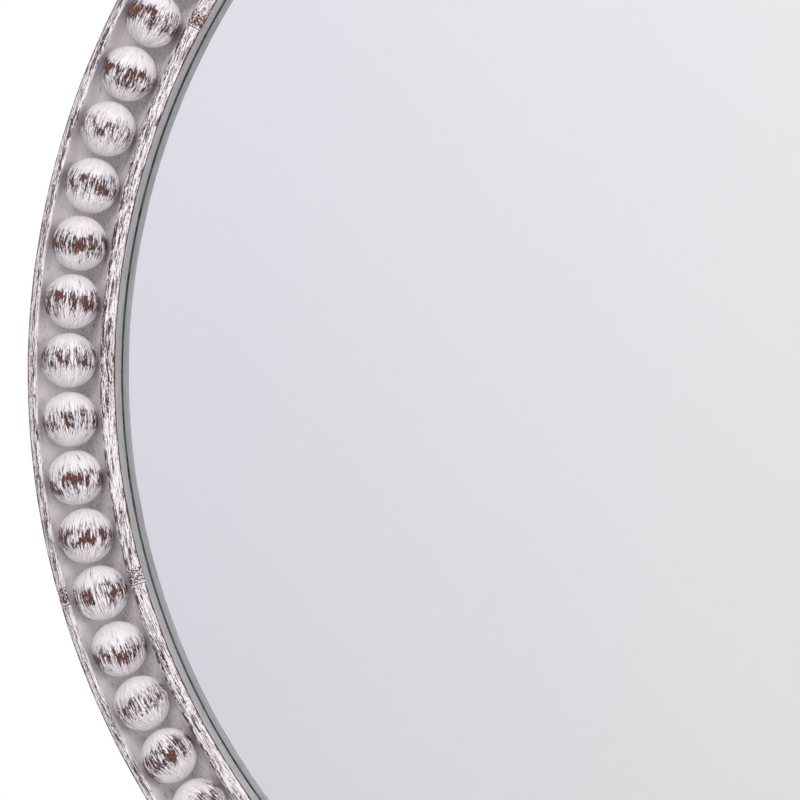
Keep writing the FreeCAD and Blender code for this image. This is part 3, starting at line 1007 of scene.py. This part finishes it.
@dataclass
class WoodenRing:
    """Eight wooden segments with interlocking fingers, a cove for the beads and a stepped inner moulding.

    Sizes are in millimetres: radii from the ring's axis, and levels from the wall.
    """

    finish: bpy.types.Material
    outer: float = 299.98
    crown_radius: float = 10.0
    crown_end: Point = (297.086, 25.401)
    crest_radius: float = 0.9
    cove_start: Point = (295.747, 24.702)
    cove_radius: float = 11.75
    floor_half: float = 4.6
    shoulder: float = 272.396
    moulding: float = 271.546
    sight: float = 266.496
    rebate: float = 272.496
    seat_level: float = 13.0
    shoulder_level: float = 24.312
    rim_level: float = 26.012
    arris_level: float = 22.912
    back_round: float = 0.6
    arris_round: float = 0.5
    step_round: float = 0.5
    moulding_round: float = 0.35
    sight_round: float = 0.3
    rebate_round: float = 0.3
    pilot_radius: float = 1.55
    pilot_end: float = 12.6
    overrun: float = 2.0
    end_overrun: float = 1.0
    angle_overrun: float = 0.5
    steps: int = 96
    wear_depth: float = 0.2
    wear_reach: float = 0.95
    wear_size: float = 9.0

    def section(self) -> Outline:
        """Draws the ring's section.

        Returns:
            The filled outline, with its arrises rounded by wear.
        """
        back_inner = (self.rebate, BACK_LEVEL)
        back_outer = (self.outer, BACK_LEVEL)
        arris = (self.outer, self.arris_level)
        step_foot = (self.shoulder, self.shoulder_level)
        step_top = (self.moulding, self.rim_level)
        sight_top = (self.sight, self.rim_level)
        outline = Outline("ring_segment", front_plane, back_inner)
        outline.line_to(back_outer, arris)
        outline.bend_to(self.crown_end, self.crown_radius, -1, 5)
        outline.bend_to(self.cove_start, self.crest_radius, -1, 5)
        outline.bend_to((COVE_CIRCLE + self.floor_half, COVE_FLOOR), self.cove_radius, 1, 9)
        outline.line_to((COVE_CIRCLE - self.floor_half, COVE_FLOOR))
        outline.bend_to(step_foot, self.cove_radius, 1, 9)
        outline.line_to((self.moulding, self.shoulder_level), step_top, sight_top)
        outline.line_to((self.sight, self.seat_level), (self.rebate, self.seat_level))
        outline.fill()
        outline.round_corner(back_outer, self.back_round)
        outline.round_corner(arris, self.arris_round)
        outline.round_corner(step_foot, self.step_round)
        outline.round_corner(step_top, self.moulding_round)
        outline.round_corner(sight_top, self.sight_round)
        outline.round_corner(back_inner, self.rebate_round)
        return outline

    def finger_cutter(self, layers: range, start: float, end: float) -> bpy.types.Object:
        """Makes ring-shaped blocks that clear every other layer of a joint.

        Args:
            layers: The layers to clear, counted from the back.
            start: The angle where they start, in degrees.
            end: The angle where they end.

        Returns:
            The blocks as one cutter.
        """
        blocks = []
        inside, outside = self.sight - self.overrun, self.outer + self.overrun
        for layer in layers:
            low = BACK_LEVEL + layer * FINGER_HEIGHT - (self.end_overrun if layer == 0 else 0)
            high = BACK_LEVEL + (layer + 1) * FINGER_HEIGHT
            high += self.end_overrun if layer == FINGER_LAYERS - 1 else 0
            outline = Outline("finger_block", front_plane, (inside, low))
            outline.line_to((outside, low), (outside, high), (inside, high))
            outline.fill()
            outline.spin_round(end - start, 3)
            blocks.append(place_piece(close_shell(), ring_turn(start)))
        return join_pieces(blocks, "finger_cutter")

    def template(self) -> bpy.types.Object:
        """Models one segment, which starts at +X.

        Returns:
            The segment, with its fingers and the pilot hole of its clip's screw.
        """
        whole_angle = SEGMENT_ANGLE + FINGER_ANGLE
        self.section().spin_round(whole_angle, self.steps)
        segment = close_shell()
        cut_away(segment, self.finger_cutter(range(1, FINGER_LAYERS, 2), -self.angle_overrun, FINGER_ANGLE))
        far_end = whole_angle + self.angle_overrun
        cut_away(segment, self.finger_cutter(range(0, FINGER_LAYERS, 2), SEGMENT_ANGLE, far_end))
        middle = ring_turn(whole_angle / 2)
        mouth, bottom = front_plane(CLIP_CIRCLE, 0), front_plane(CLIP_CIRCLE, self.pilot_end)
        drill(segment, self.pilot_radius, middle @ mouth, middle @ bottom)
        return segment

    def rub_arrises(self, segment: bpy.types.Object) -> None:
        """Takes a little off the worn arrises, unevenly, by a fixed pattern of clouds.

        Args:
            segment: The segment, at its own place in the ring.
        """
        moulding_arris, sight_arris = (self.moulding, self.rim_level), (self.sight, self.rim_level)
        worn = ((self.outer, self.arris_level), self.crown_end, moulding_arris, sight_arris)

        def at_arris(place: Vector, _: Vector) -> bool:
            """Whether a corner of the mesh lies on a worn arris."""
            radius, level = math.hypot(place.x, place.z) / MM, -place.y / MM
            return any(math.hypot(radius - across, level - up) < self.wear_reach for across, up in worn)

        open_up(segment)
        choose(Grip.CORNERS, at_arris)
        bpy.ops.object.vertex_group_assign_new()
        bpy.ops.object.mode_set(mode="OBJECT")
        clouds = bpy.data.textures.get("arris_wear") or bpy.data.textures.new("arris_wear", "CLOUDS")
        clouds.noise_scale = self.wear_size * MM
        clouds.noise_depth = 2
        add_modifier(
            segment, "DISPLACE", texture=clouds, texture_coords="LOCAL", direction="NORMAL", mid_level=1.0,
            strength=self.wear_depth * MM, vertex_group=segment.vertex_groups[0].name,
        )
        segment.vertex_groups.clear()

    def build(self) -> None:
        """Models the segments and sets them round the ring."""
        template = self.template()
        for number in range(SEGMENTS):
            turn = ring_turn(JOINT_ANGLE + number * SEGMENT_ANGLE)
            segment = copy_piece(template, f"ring_segment_{number + 1}", turn)
            self.rub_arrises(segment)
            open_up(segment)
            close_shell(32)
            stand_in(segment, f"frame_segment_{number + 1}", self.finish)
        drop(template)


@dataclass
class BeadRows:
    """Wooden balls on the cove's floor, in one row for each segment. Sizes are in millimetres."""

    finish: bpy.types.Material
    count: int = 82
    start_angle: float = 179.0
    level: float = 24.35
    radius: float = 10.25
    most_tilt: float = 9.0

    def template(self) -> bpy.types.Object:
        """Models one ball at +X.

        Returns:
            The ball, with the flat that it is glued by.
        """
        put_down()
        centre = front_plane(COVE_CIRCLE, self.level)
        bpy.ops.mesh.primitive_ico_sphere_add(subdivisions=4, radius=self.radius * MM, location=centre)
        bpy.ops.object.transform_apply(location=True)
        open_up(bpy.context.object)
        choose_all(Grip.CORNERS)
        bpy.ops.mesh.bisect(
            plane_co=(0, -COVE_FLOOR * MM, 0), plane_no=(0, 1, 0), use_fill=True, clear_outer=True
        )
        return close_shell(50)

    def mark(self, ball: bpy.types.Object, dice: random.Random) -> None:
        """Gives a ball's corners their place in it, a little askew, and the ball's own random mark.

        Args:
            ball: The ball, at the template's place.
            dice: Draws three tilts and then the mark.
        """
        data = ball.data
        data.attributes.new("ball_place", "FLOAT_VECTOR", "POINT")
        data.attributes.new("ball_mark", "FLOAT", "POINT")
        place, mark = data.attributes["ball_place"], data.attributes["ball_mark"]
        most = self.most_tilt
        tilt = Euler([math.radians(dice.uniform(-most, most)) for _ in range(3)]).to_matrix()
        centre = front_plane(COVE_CIRCLE, self.level)
        number = dice.random()
        for vertex in data.vertices:
            offset = (vertex.co - centre) / (self.radius * MM)
            place.data[vertex.index].vector = tilt @ Vector((offset.z, offset.x, -offset.y))
            mark.data[vertex.index].value = number

    def build(self) -> None:
        """Models the balls and joins them row by row."""
        dice = random.Random(82)
        template = self.template()
        rows: list[list[bpy.types.Object]] = [[] for _ in range(SEGMENTS)]
        for number in range(self.count):
            angle = self.start_angle + 360 * number / self.count
            row = int((angle - JOINT_ANGLE) % 360 // SEGMENT_ANGLE)
            ball = copy_piece(template, f"ball_{number + 1}", Matrix.Identity(4))
            self.mark(ball, dice)
            rows[row].append(place_piece(ball, ring_turn(angle)))
        drop(template)
        for number, balls in enumerate(rows):
            beads = join_pieces(balls, f"beads_{number + 1}")
            stand_in(beads, f"bead_row_{number + 1}", self.finish)


# Mirror and backing


@dataclass
class MirrorSheets:
    """The glass with its silvered back, and the sheets behind it. Sizes are in millimetres."""

    glass: bpy.types.Material
    silver: bpy.types.Material
    paint: bpy.types.Material
    foam: bpy.types.Material
    board: bpy.types.Material
    radius: float = 271.5
    back_level: float = 10.02
    front_level: float = 13.0
    ground_edge: float = 0.4
    sides: int = 192

    def plate(self) -> bpy.types.Object:
        """Models the glass.

        Returns:
            The glass, with a ground edge and silver on its back.
        """
        put_down()
        bpy.ops.mesh.primitive_cylinder_add(
            vertices=self.sides, radius=self.radius * MM, depth=(self.front_level - self.back_level) * MM,
            location=(0, -(self.back_level + self.front_level) / 2 * MM, 0), rotation=(math.pi / 2, 0, 0),
        )
        bpy.ops.object.transform_apply(location=True, rotation=True)
        plate = bpy.context.object
        plate.name = plate.data.name = "mirror_plate"
        open_up(plate)
        rim = (self.radius - self.ground_edge) * MM * math.cos(math.pi / self.sides)
        choose(Grip.EDGES, lambda place, way: math.hypot(place.x, place.z) > rim and abs(way.y) < 0.5)
        bpy.ops.mesh.bevel(offset=self.ground_edge * MM, segments=1, affect="EDGES")
        plate.data.materials.append(self.glass)
        plate.data.materials.append(self.silver)
        choose(Grip.FACES, lambda place, normal: normal.y > 0.99)
        plate.active_material_index = 1
        bpy.ops.object.material_slot_assign()
        return close_shell(20)

    def build(self) -> None:
        """Models the glass, and gives the CAD sheets behind it their finishes."""
        stand_in(self.plate(), "mirror_glass")
        sheets = {"silver_coat": self.paint, "foam_sheet": self.foam, "backing_panel": self.board}
        for node, finish in sheets.items():
            coat(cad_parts[node], finish)
            LOG.info("%s: dressed", node)


# Hardware on the back


@dataclass
class PanScrew:
    """A pan head screw with a cross recess, its seat at the origin and its head towards +Y.

    Sizes are in millimetres. The recess is two crossed blades, with their length, depth and width, and the
    shares of them that their feet keep.
    """

    steel: bpy.types.Material
    head_radius: float = 3.0
    head_height: float = 2.0
    head_side: float = 0.6
    head_round: float = 0.15
    crown_flat: float = 0.9
    crown_radius: float = 2.7
    shank_radius: float = 1.5
    neck_radius: float = 1.35
    neck_length: float = 1.2
    core_radius: float = 1.125
    length: float = 8.0
    tip_radius: float = 0.35
    tip_round: float = 0.15
    tip_length: float = 1.3
    thread_start: float = 1.6
    thread_end: float = 2.0
    thread_crest: float = 0.15
    thread_flank: float = 0.45
    pitch: float = 1.0
    recess: tuple[float, float, float] = (3.5, 1.9, 0.62)
    recess_sink: float = 0.2
    recess_foot_shares: tuple[float, float, float] = (0.35, 1.0, 0.7)
    eased: float = 0.05

    def turned(self) -> bpy.types.Object:
        """Turns the screw from its half section.

        Returns:
            The screw, without its recess.
        """
        tip = -self.length
        outline = Outline("pan_screw", own_plane, (0, tip))
        outline.line_to((self.tip_radius, tip + self.tip_round), (self.core_radius, tip + self.tip_length))
        level = tip + self.thread_start
        while level < -self.thread_end:
            outline.line_to(
                (self.shank_radius, level), (self.shank_radius, level + self.thread_crest),
                (self.core_radius, level + self.thread_flank),
            )
            level += self.pitch
        outline.line_to(
            (self.neck_radius, -self.neck_length), (self.neck_radius, 0),
            (self.head_radius - self.head_round, 0), (self.head_radius, self.head_round),
            (self.head_radius, self.head_side),
        )
        outline.bend_to((self.crown_flat, self.head_height), self.crown_radius, 1, 7)
        outline.line_to((0, self.head_height))
        return outline.lathe(28)

    def build(self) -> bpy.types.Object:
        """Models the screw as a template.

        Returns:
            The template, which the sets of screws copy.
        """
        screw = self.turned()
        for turn in (0.0, math.pi / 2):
            put_down()
            centre = own_plane(0, self.head_height - self.recess_sink)
            bpy.ops.mesh.primitive_cube_add(size=MM, location=centre)
            blade = bpy.context.object
            bpy.ops.object.mode_set(mode="EDIT")
            bpy.ops.mesh.select_all(action="SELECT")
            bpy.ops.transform.resize(value=self.recess)
            choose(Grip.FACES, lambda place, normal: normal.y < -0.9)
            bpy.ops.transform.resize(value=self.recess_foot_shares)
            close_shell()
            cut_away(screw, place_piece(blade, Matrix.Rotation(turn, 4, "Y") @ blade.matrix_world))
        ease_edges(screw, self.eased, 1, 50)
        coat(screw, self.steel)
        return screw


@dataclass
class RetainingClips:
    """Joggled steel clips that hold the backing panel, each with its screw. Sizes are in millimetres."""

    steel: bpy.types.Material
    screw: bpy.types.Object
    tongue: float = 262.5
    toe: float = 271.0
    heel: float = 272.3
    tail: float = 292.25
    drop_height: float = 0.9
    gauge: float = 1.0
    width: float = 12.0
    joggle_round: float = 0.5
    tail_round: float = 4.0
    tongue_round: float = 2.0
    eased: float = 0.12
    first_angle: float = JOINT_ANGLE + (SEGMENT_ANGLE + FINGER_ANGLE) / 2

    def template(self) -> bpy.types.Object:
        """Models one clip at +X.

        Returns:
            The clip, with its screw hole.
        """
        low, high = -self.drop_height, self.gauge - self.drop_height
        corners = [
            (self.tongue, low), (self.toe, low), (self.heel, 0), (self.tail, 0),
            (self.tail, self.gauge), (self.heel, self.gauge), (self.toe, high), (self.tongue, high),
        ]
        outline = Outline("clip", back_plane, corners[0])
        outline.line_to(*corners[1:])
        outline.fill()
        for corner in corners[1:3] + corners[5:7]:
            outline.round_corner(corner, self.joggle_round, 2)
        clip = outline.raise_up(self.width)
        for end, radius in ((self.tail * MM, self.tail_round), (self.tongue * MM, self.tongue_round)):
            round_edges(
                clip, radius, 5, lambda place, way: abs(way.y) > 0.9 and abs(place.x - end) < CLOSE_BY
            )
        drill(clip, SCREW_HOLE, back_plane(CLIP_CIRCLE, -2), back_plane(CLIP_CIRCLE, 3))
        ease_edges(clip, self.eased)
        return clip

    def build(self) -> None:
        """Models the clips and their screws, each screw at an angle of its own."""
        template = self.template()
        dice = random.Random(8)
        seat = Matrix.Translation(back_plane(CLIP_CIRCLE, self.gauge))
        screws = []
        for number in range(SEGMENTS):
            turn = ring_turn(self.first_angle + number * SEGMENT_ANGLE)
            clip = copy_piece(template, f"clip_{number + 1}", turn)
            stand_in(clip, f"retaining_clip_{number + 1}", self.steel)
            own_turn = Matrix.Rotation(dice.uniform(0, math.pi), 4, "Y")
            screws.append(copy_piece(self.screw, f"clip_screw_{number + 1}", turn @ seat @ own_turn))
        drop(template)
        stand_in(join_pieces(screws, "clip_screw_set"), "clip_screws")


@dataclass
class Hangers:
    """Two folded straps with hinged D rings and their screws. Sizes are in millimetres."""

    steel: bpy.types.Material
    screw: bpy.types.Object
    across: float = 203.648
    up: float = 203.648
    strap_length: float = 16.0
    strap_width: float = 10.0
    gauge: float = 0.8
    hole_setback: float = 6.0
    loop_radius: float = 1.88
    bore: float = 1.08
    fold_round: float = 0.8
    foot_round: float = 2.5
    slit: float = 0.06
    overrun: float = 2.0
    eased: float = 0.1
    wire: float = 1.0
    half_width: float = 7.0
    leg: float = 3.0
    bend: float = 1.6
    lean: float = 3.33
    screw_turn: float = 0.6

    def strap(self) -> bpy.types.Object:
        """Models one strap lying along +X, its height along +Y.

        Returns:
            The strap, with its rolled eye, the slit between its two leaves and its screw hole.
        """
        length, loop, thickness = self.strap_length, self.loop_radius, 2 * self.gauge
        reach = loop * math.sin(math.pi / 4)
        crest = loop + reach
        foot = length - reach - (crest - thickness)
        outline = Outline("strap", own_plane, (0, 0))
        outline.line_to((length, 0))
        outline.bend_to((length + loop, loop), loop, 1, 6)
        outline.bend_to((length - reach, crest), loop, 1, 9)
        outline.line_to((foot, thickness), (0, thickness))
        outline.fill()
        outline.round_corner((foot, thickness), self.fold_round, 4)
        strap = outline.raise_up(self.strap_width)
        round_edges(strap, self.foot_round, 6, lambda place, way: abs(way.y) > 0.9 and place.x < CLOSE_BY)
        axis = own_plane(length, loop)
        side = Vector((0, 0, self.strap_width * MM))
        drill(strap, self.bore, axis - side, axis + side)
        hole, deep = own_plane(self.hole_setback, 0), own_plane(0, self.overrun)
        drill(strap, SCREW_HOLE, hole - deep, hole + 2 * deep)
        put_down()
        bpy.ops.mesh.primitive_cube_add(size=MM)
        slit = bpy.context.object
        slit.scale = (length - self.overrun, self.slit, self.strap_width + self.overrun)
        slit.location = own_plane(length / 2 - self.overrun, self.gauge)
        bpy.ops.object.transform_apply()
        cut_away(strap, slit)
        ease_edges(strap, self.eased, 1)
        return strap

    def ring(self) -> bpy.types.Object:
        """Models one D ring of round wire in the plane Z = 0, its bar along Y through the origin.

        Returns:
            The ring.
        """
        put_down()
        bpy.ops.mesh.primitive_circle_add(
            vertices=16, radius=self.wire * MM, fill_type="NGON", rotation=(math.pi / 2, 0, 0)
        )
        bpy.ops.object.transform_apply(rotation=True)
        ring = bpy.context.object
        ring.name = "wire_ring"
        bpy.ops.object.mode_set(mode="EDIT")
        choose_all(Grip.FACES)
        half, bend, leg = self.half_width * MM, self.bend * MM, self.leg * MM

        def draw(x: float, y: float) -> None:
            """Draws the wire's end out along a straight run."""
            bpy.ops.mesh.extrude_region_move(TRANSFORM_OT_translate={"value": (x, y, 0)})

        def bend_wire(x: float, y: float, angle: float, steps: int) -> None:
            """Turns the wire's end clockwise about a centre."""
            bpy.ops.mesh.spin(steps=steps, angle=math.radians(angle), center=(x, y, 0), axis=(0, 0, 1))

        draw(0, half - bend)
        bend_wire(bend, half - bend, 90, 6)
        draw(leg - bend, 0)
        bend_wire(leg, 0, 180, 28)
        draw(bend - leg, 0)
        bend_wire(bend, bend - half, 90, 6)
        draw(0, half - bend)
        choose(Grip.FACES, lambda place, normal: abs(place.y) < CLOSE_BY and abs(normal.y) > 0.9)
        bpy.ops.mesh.delete(type="FACE")
        close_shell(60)
        return ring

    def build(self) -> None:
        """Sets a strap, a ring and a screw on each side."""
        strap, ring = self.strap(), self.ring()
        upright = Matrix.Rotation(-math.pi / 2, 4, "X") @ Matrix.Rotation(-math.pi / 2, 4, "Z")
        lying = upright @ Matrix.Rotation(math.pi / 2, 4, "X")
        leaning = upright @ Matrix.Rotation(math.radians(self.lean), 4, "Y")
        foot_up = self.up - self.strap_length

        def over_back(sign: int, height: float, up: float) -> Matrix:
            """A move to a hanger on one side, by its height over the back and its place up the mirror."""
            return Matrix.Translation(Vector((sign * self.across, height - BACK_LEVEL, up)) * MM)

        screws = []
        for side, sign in (("left", -1), ("right", 1)):
            own_strap = copy_piece(strap, f"strap_{side}", over_back(sign, 0, foot_up) @ lying)
            stand_in(own_strap, f"hanger_strap_{side}", self.steel)
            bar = over_back(sign, self.loop_radius, self.up)
            own_ring = copy_piece(ring, f"wire_ring_{side}", bar @ leaning)
            stand_in(own_ring, f"d_ring_{side}", self.steel, f"d_ring_{side}")
            seat = over_back(sign, 2 * self.gauge, foot_up + self.hole_setback)
            own_turn = Matrix.Rotation(self.screw_turn + sign, 4, "Y")
            screws.append(copy_piece(self.screw, f"hanger_screw_{side}", seat @ own_turn))
        drop(strap, ring)
        stand_in(join_pieces(screws, "hanger_screw_pair"), "hanger_screws")


@dataclass
class WallBumpers:
    """Four soft round bumpers that keep the ring off the wall. Sizes are in millimetres."""

    rubber: bpy.types.Material
    radius: float = 5.0
    height: float = 5.0
    foot_round: float = 0.2
    taper: float = 0.25
    crown_round: float = 1.6
    crown_inset: float = 1.8
    pole_radius: float = 0.8
    count: int = 4

    def template(self) -> bpy.types.Object:
        """Turns one bumper about the Y axis.

        Returns:
            The bumper, standing on the origin.
        """
        outline = Outline("bumper", own_plane, (0, 0))
        outline.line_to(
            (self.radius - self.foot_round, 0), (self.radius, self.foot_round),
            (self.radius - self.taper, self.height - self.crown_round),
        )
        outline.bend_to((self.radius - self.crown_inset, self.height), self.crown_round, 1, 6)
        outline.line_to((self.pole_radius, self.height), (0, self.height))
        return outline.lathe(40)

    def build(self) -> None:
        """Sets copies of one bumper round the ring's back."""
        template = self.template()
        seat = Matrix.Translation(back_plane(CLIP_CIRCLE, 0))
        bumpers = [
            copy_piece(template, f"bumper_{number + 1}", ring_turn(number * 360 / self.count) @ seat)
            for number in range(self.count)
        ]
        drop(template)
        stand_in(join_pieces(bumpers, "bumper_set"), "wall_bumpers", self.rubber)


# Studio


@dataclass(frozen=True)
class Lamp:
    """One square soft lamp that points at the mirror. Sizes are in metres and the power in watts."""

    name: str
    place: tuple[float, float, float]
    size: float
    power: float
    colour: tuple[float, float, float]
    mirrored: bool = True

    def light(self) -> None:
        """Sets up the lamp, shown in metal and glass only where it is mirrored."""
        data = bpy.data.lights.new(self.name, "AREA")
        data.size = self.size
        data.energy = self.power
        data.color = self.colour
        lamp = bpy.data.objects.new(self.name, data)
        bpy.context.scene.collection.objects.link(lamp)
        lamp.location = self.place
        lamp.rotation_euler = (-Vector(self.place)).to_track_quat("-Z", "Y").to_euler()
        lamp.visible_glossy = self.mirrored
        lamp.visible_transmission = self.mirrored


LAMPS = (
    Lamp("key_lamp", (-0.35, -2.2, 1.5), 1.0, 30, (1.0, 0.99, 0.985)),
    Lamp("side_lamp", (2.2, -1.8, 0.4), 1.2, 22, (1.0, 0.99, 0.985), mirrored=False),
    Lamp("back_lamp", (-1.5, 2.0, 1.5), 1.2, 30, (0.98, 0.985, 1.0)),
)


@dataclass
class Studio:
    """The camera at the photograph's place, soft lamps, a pale floor and a white surround."""

    camera_distance: float = 1.513
    yaw: float = 6.1694
    pitch: float = -0.3673
    lens: float = 183.854
    sensor: float = 36.0
    nearest: float = 0.05
    pale_strength: float = 1.34
    fill_strength: float = 0.82
    floor_level: float = -0.3004
    floor_radius: float = 3.2
    floor_fade: tuple[float, float] = (0.5, 1.25)

    def set_camera(self) -> None:
        """Sets up the camera in front of the mirror's centre, turned to the photograph's crop."""
        camera = bpy.data.objects.new("camera", bpy.data.cameras.new("camera"))
        bpy.context.scene.collection.objects.link(camera)
        camera.location = (0, -self.camera_distance, 0)
        camera.rotation_euler = (math.radians(90 + self.pitch), 0, math.radians(self.yaw))
        camera.data.lens = self.lens
        camera.data.sensor_width = self.sensor
        camera.data.clip_start = self.nearest
        bpy.context.scene.camera = camera

    def set_world(self) -> None:
        """Lights the surround: white to the camera, the photograph's pale tones in glass and metal."""
        world = bpy.data.worlds.new("studio")
        bpy.context.scene.world = world
        sheet = NodeSheet(world)
        camera_ray, seen = sheet.rays()
        x = sheet.node("SeparateXYZ", None, {0: sheet.node("TexCoord", None, None, "Generated")})
        across = sheet.smooth(x, -0.21, 0.02)
        up = sheet.node("MapRange", None, {0: x.twin("Z"), 1: -0.105, 2: 0.092, 3: 0.0, 4: 1.0})
        left = sheet.mix(up, linear(209, 208, 215), linear(223, 222, 231))
        right = sheet.mix(up, linear(222, 222, 222), linear(234, 234, 235))
        pale = sheet.node("Background", None, {0: sheet.mix(across, left, right), 1: self.pale_strength})
        white = sheet.node("Background", None, {0: (1, 1, 1, 1), 1: 1.0})
        depth = sheet.math("ABSOLUTE", x.twin("Y"))
        facing = sheet.smooth(sheet.math("MAXIMUM", depth, x.twin("Z")), 0.6, 0.95)
        fill_tone = sheet.mix(facing, linear(110, 110, 112), linear(246, 246, 250))
        fill = sheet.node("Background", None, {0: fill_tone, 1: self.fill_strength})
        shader = sheet.node("MixShader", None, {0: seen, 1: fill, 2: pale})
        sheet.finish(sheet.node("MixShader", None, {0: camera_ray, 1: shader, 2: white}), world=True)

    def set_floor(self) -> None:
        """Lays a pale floor that fades into the surround."""
        put_down()
        bpy.ops.mesh.primitive_circle_add(
            vertices=96, radius=self.floor_radius, fill_type="NGON", location=(0, 0, self.floor_level)
        )
        bpy.ops.object.transform_apply(location=True)
        floor = bpy.context.object
        floor.name = floor.data.name = "floor"
        sheet = NodeSheet.of_material("pale_floor")
        x = sheet.node("SeparateXYZ", None, {0: sheet.object_place()})
        y = x.twin("Y")
        reach = sheet.math("SQRT", x * x + y * y)
        camera_ray, seen = sheet.rays()
        gone = sheet.math("MAXIMUM", sheet.smooth(reach, *self.floor_fade) * camera_ray, seen)
        clouds = sheet.noise(sheet.object_place(), 6.0, 2.0)
        tone = sheet.mix(clouds, linear(240, 240, 240), linear(246, 246, 246))
        matt = sheet.surface(Base_Color=tone, Roughness=0.9, Specular_IOR_Level=0.1)
        clear = sheet.node("BsdfTransparent", None, {0: (1, 1, 1, 1)})
        sheet.finish(sheet.node("MixShader", None, {0: gone, 1: matt, 2: clear}))
        floor.data.materials.append(sheet.owner)

    def build(self) -> None:
        """Sets up the camera, lamps, surround and floor."""
        self.set_camera()
        for lamp in LAMPS:
            lamp.light()
        self.set_world()
        self.set_floor()
        bpy.context.scene.view_settings.view_transform = "Standard"
        LOG.info("studio set up")


def main() -> None:
    """Builds and dresses every piece of the mirror, and sets up the studio."""
    logging.basicConfig(level=logging.INFO, format="%(name)s: %(message)s")
    Studio().build()
    WoodenRing(RingWood().make()).build()
    BeadRows(BeadWood().make()).build()
    paint = Speckled("backing_paint", linear(150, 152, 156), linear(132, 135, 140), 700, 0.55, 0.00002)
    foam = Speckled("foam", linear(236, 235, 230), linear(216, 215, 209), 900, 0.85, 0.0002)
    board = Speckled("hardboard", linear(142, 104, 72), linear(112, 78, 52), 520, 0.7, 0.00006, 0.5)
    MirrorSheets(ClearGlass().make(), Silvering().make(), paint.make(), foam.make(), board.make()).build()
    screw_steel = PlatedSteel("screw_steel", linear(205, 206, 208), linear(170, 172, 176), 0.3)
    clip_steel = PlatedSteel("clip_steel", linear(198, 199, 201), linear(166, 168, 172))
    hanger_steel = PlatedSteel("hanger_steel", linear(206, 203, 196), linear(176, 172, 164), 0.26)
    screw = PanScrew(screw_steel.make()).build()
    RetainingClips(clip_steel.make(), screw).build()
    Hangers(hanger_steel.make(), screw).build()
    drop(screw)
    rubber = Speckled("bumper_rubber", linear(46, 46, 47), linear(34, 34, 35), 800, 0.6, 0.00004)
    WallBumpers(rubber.make()).build()


if __name__ == "__main__":
    main()
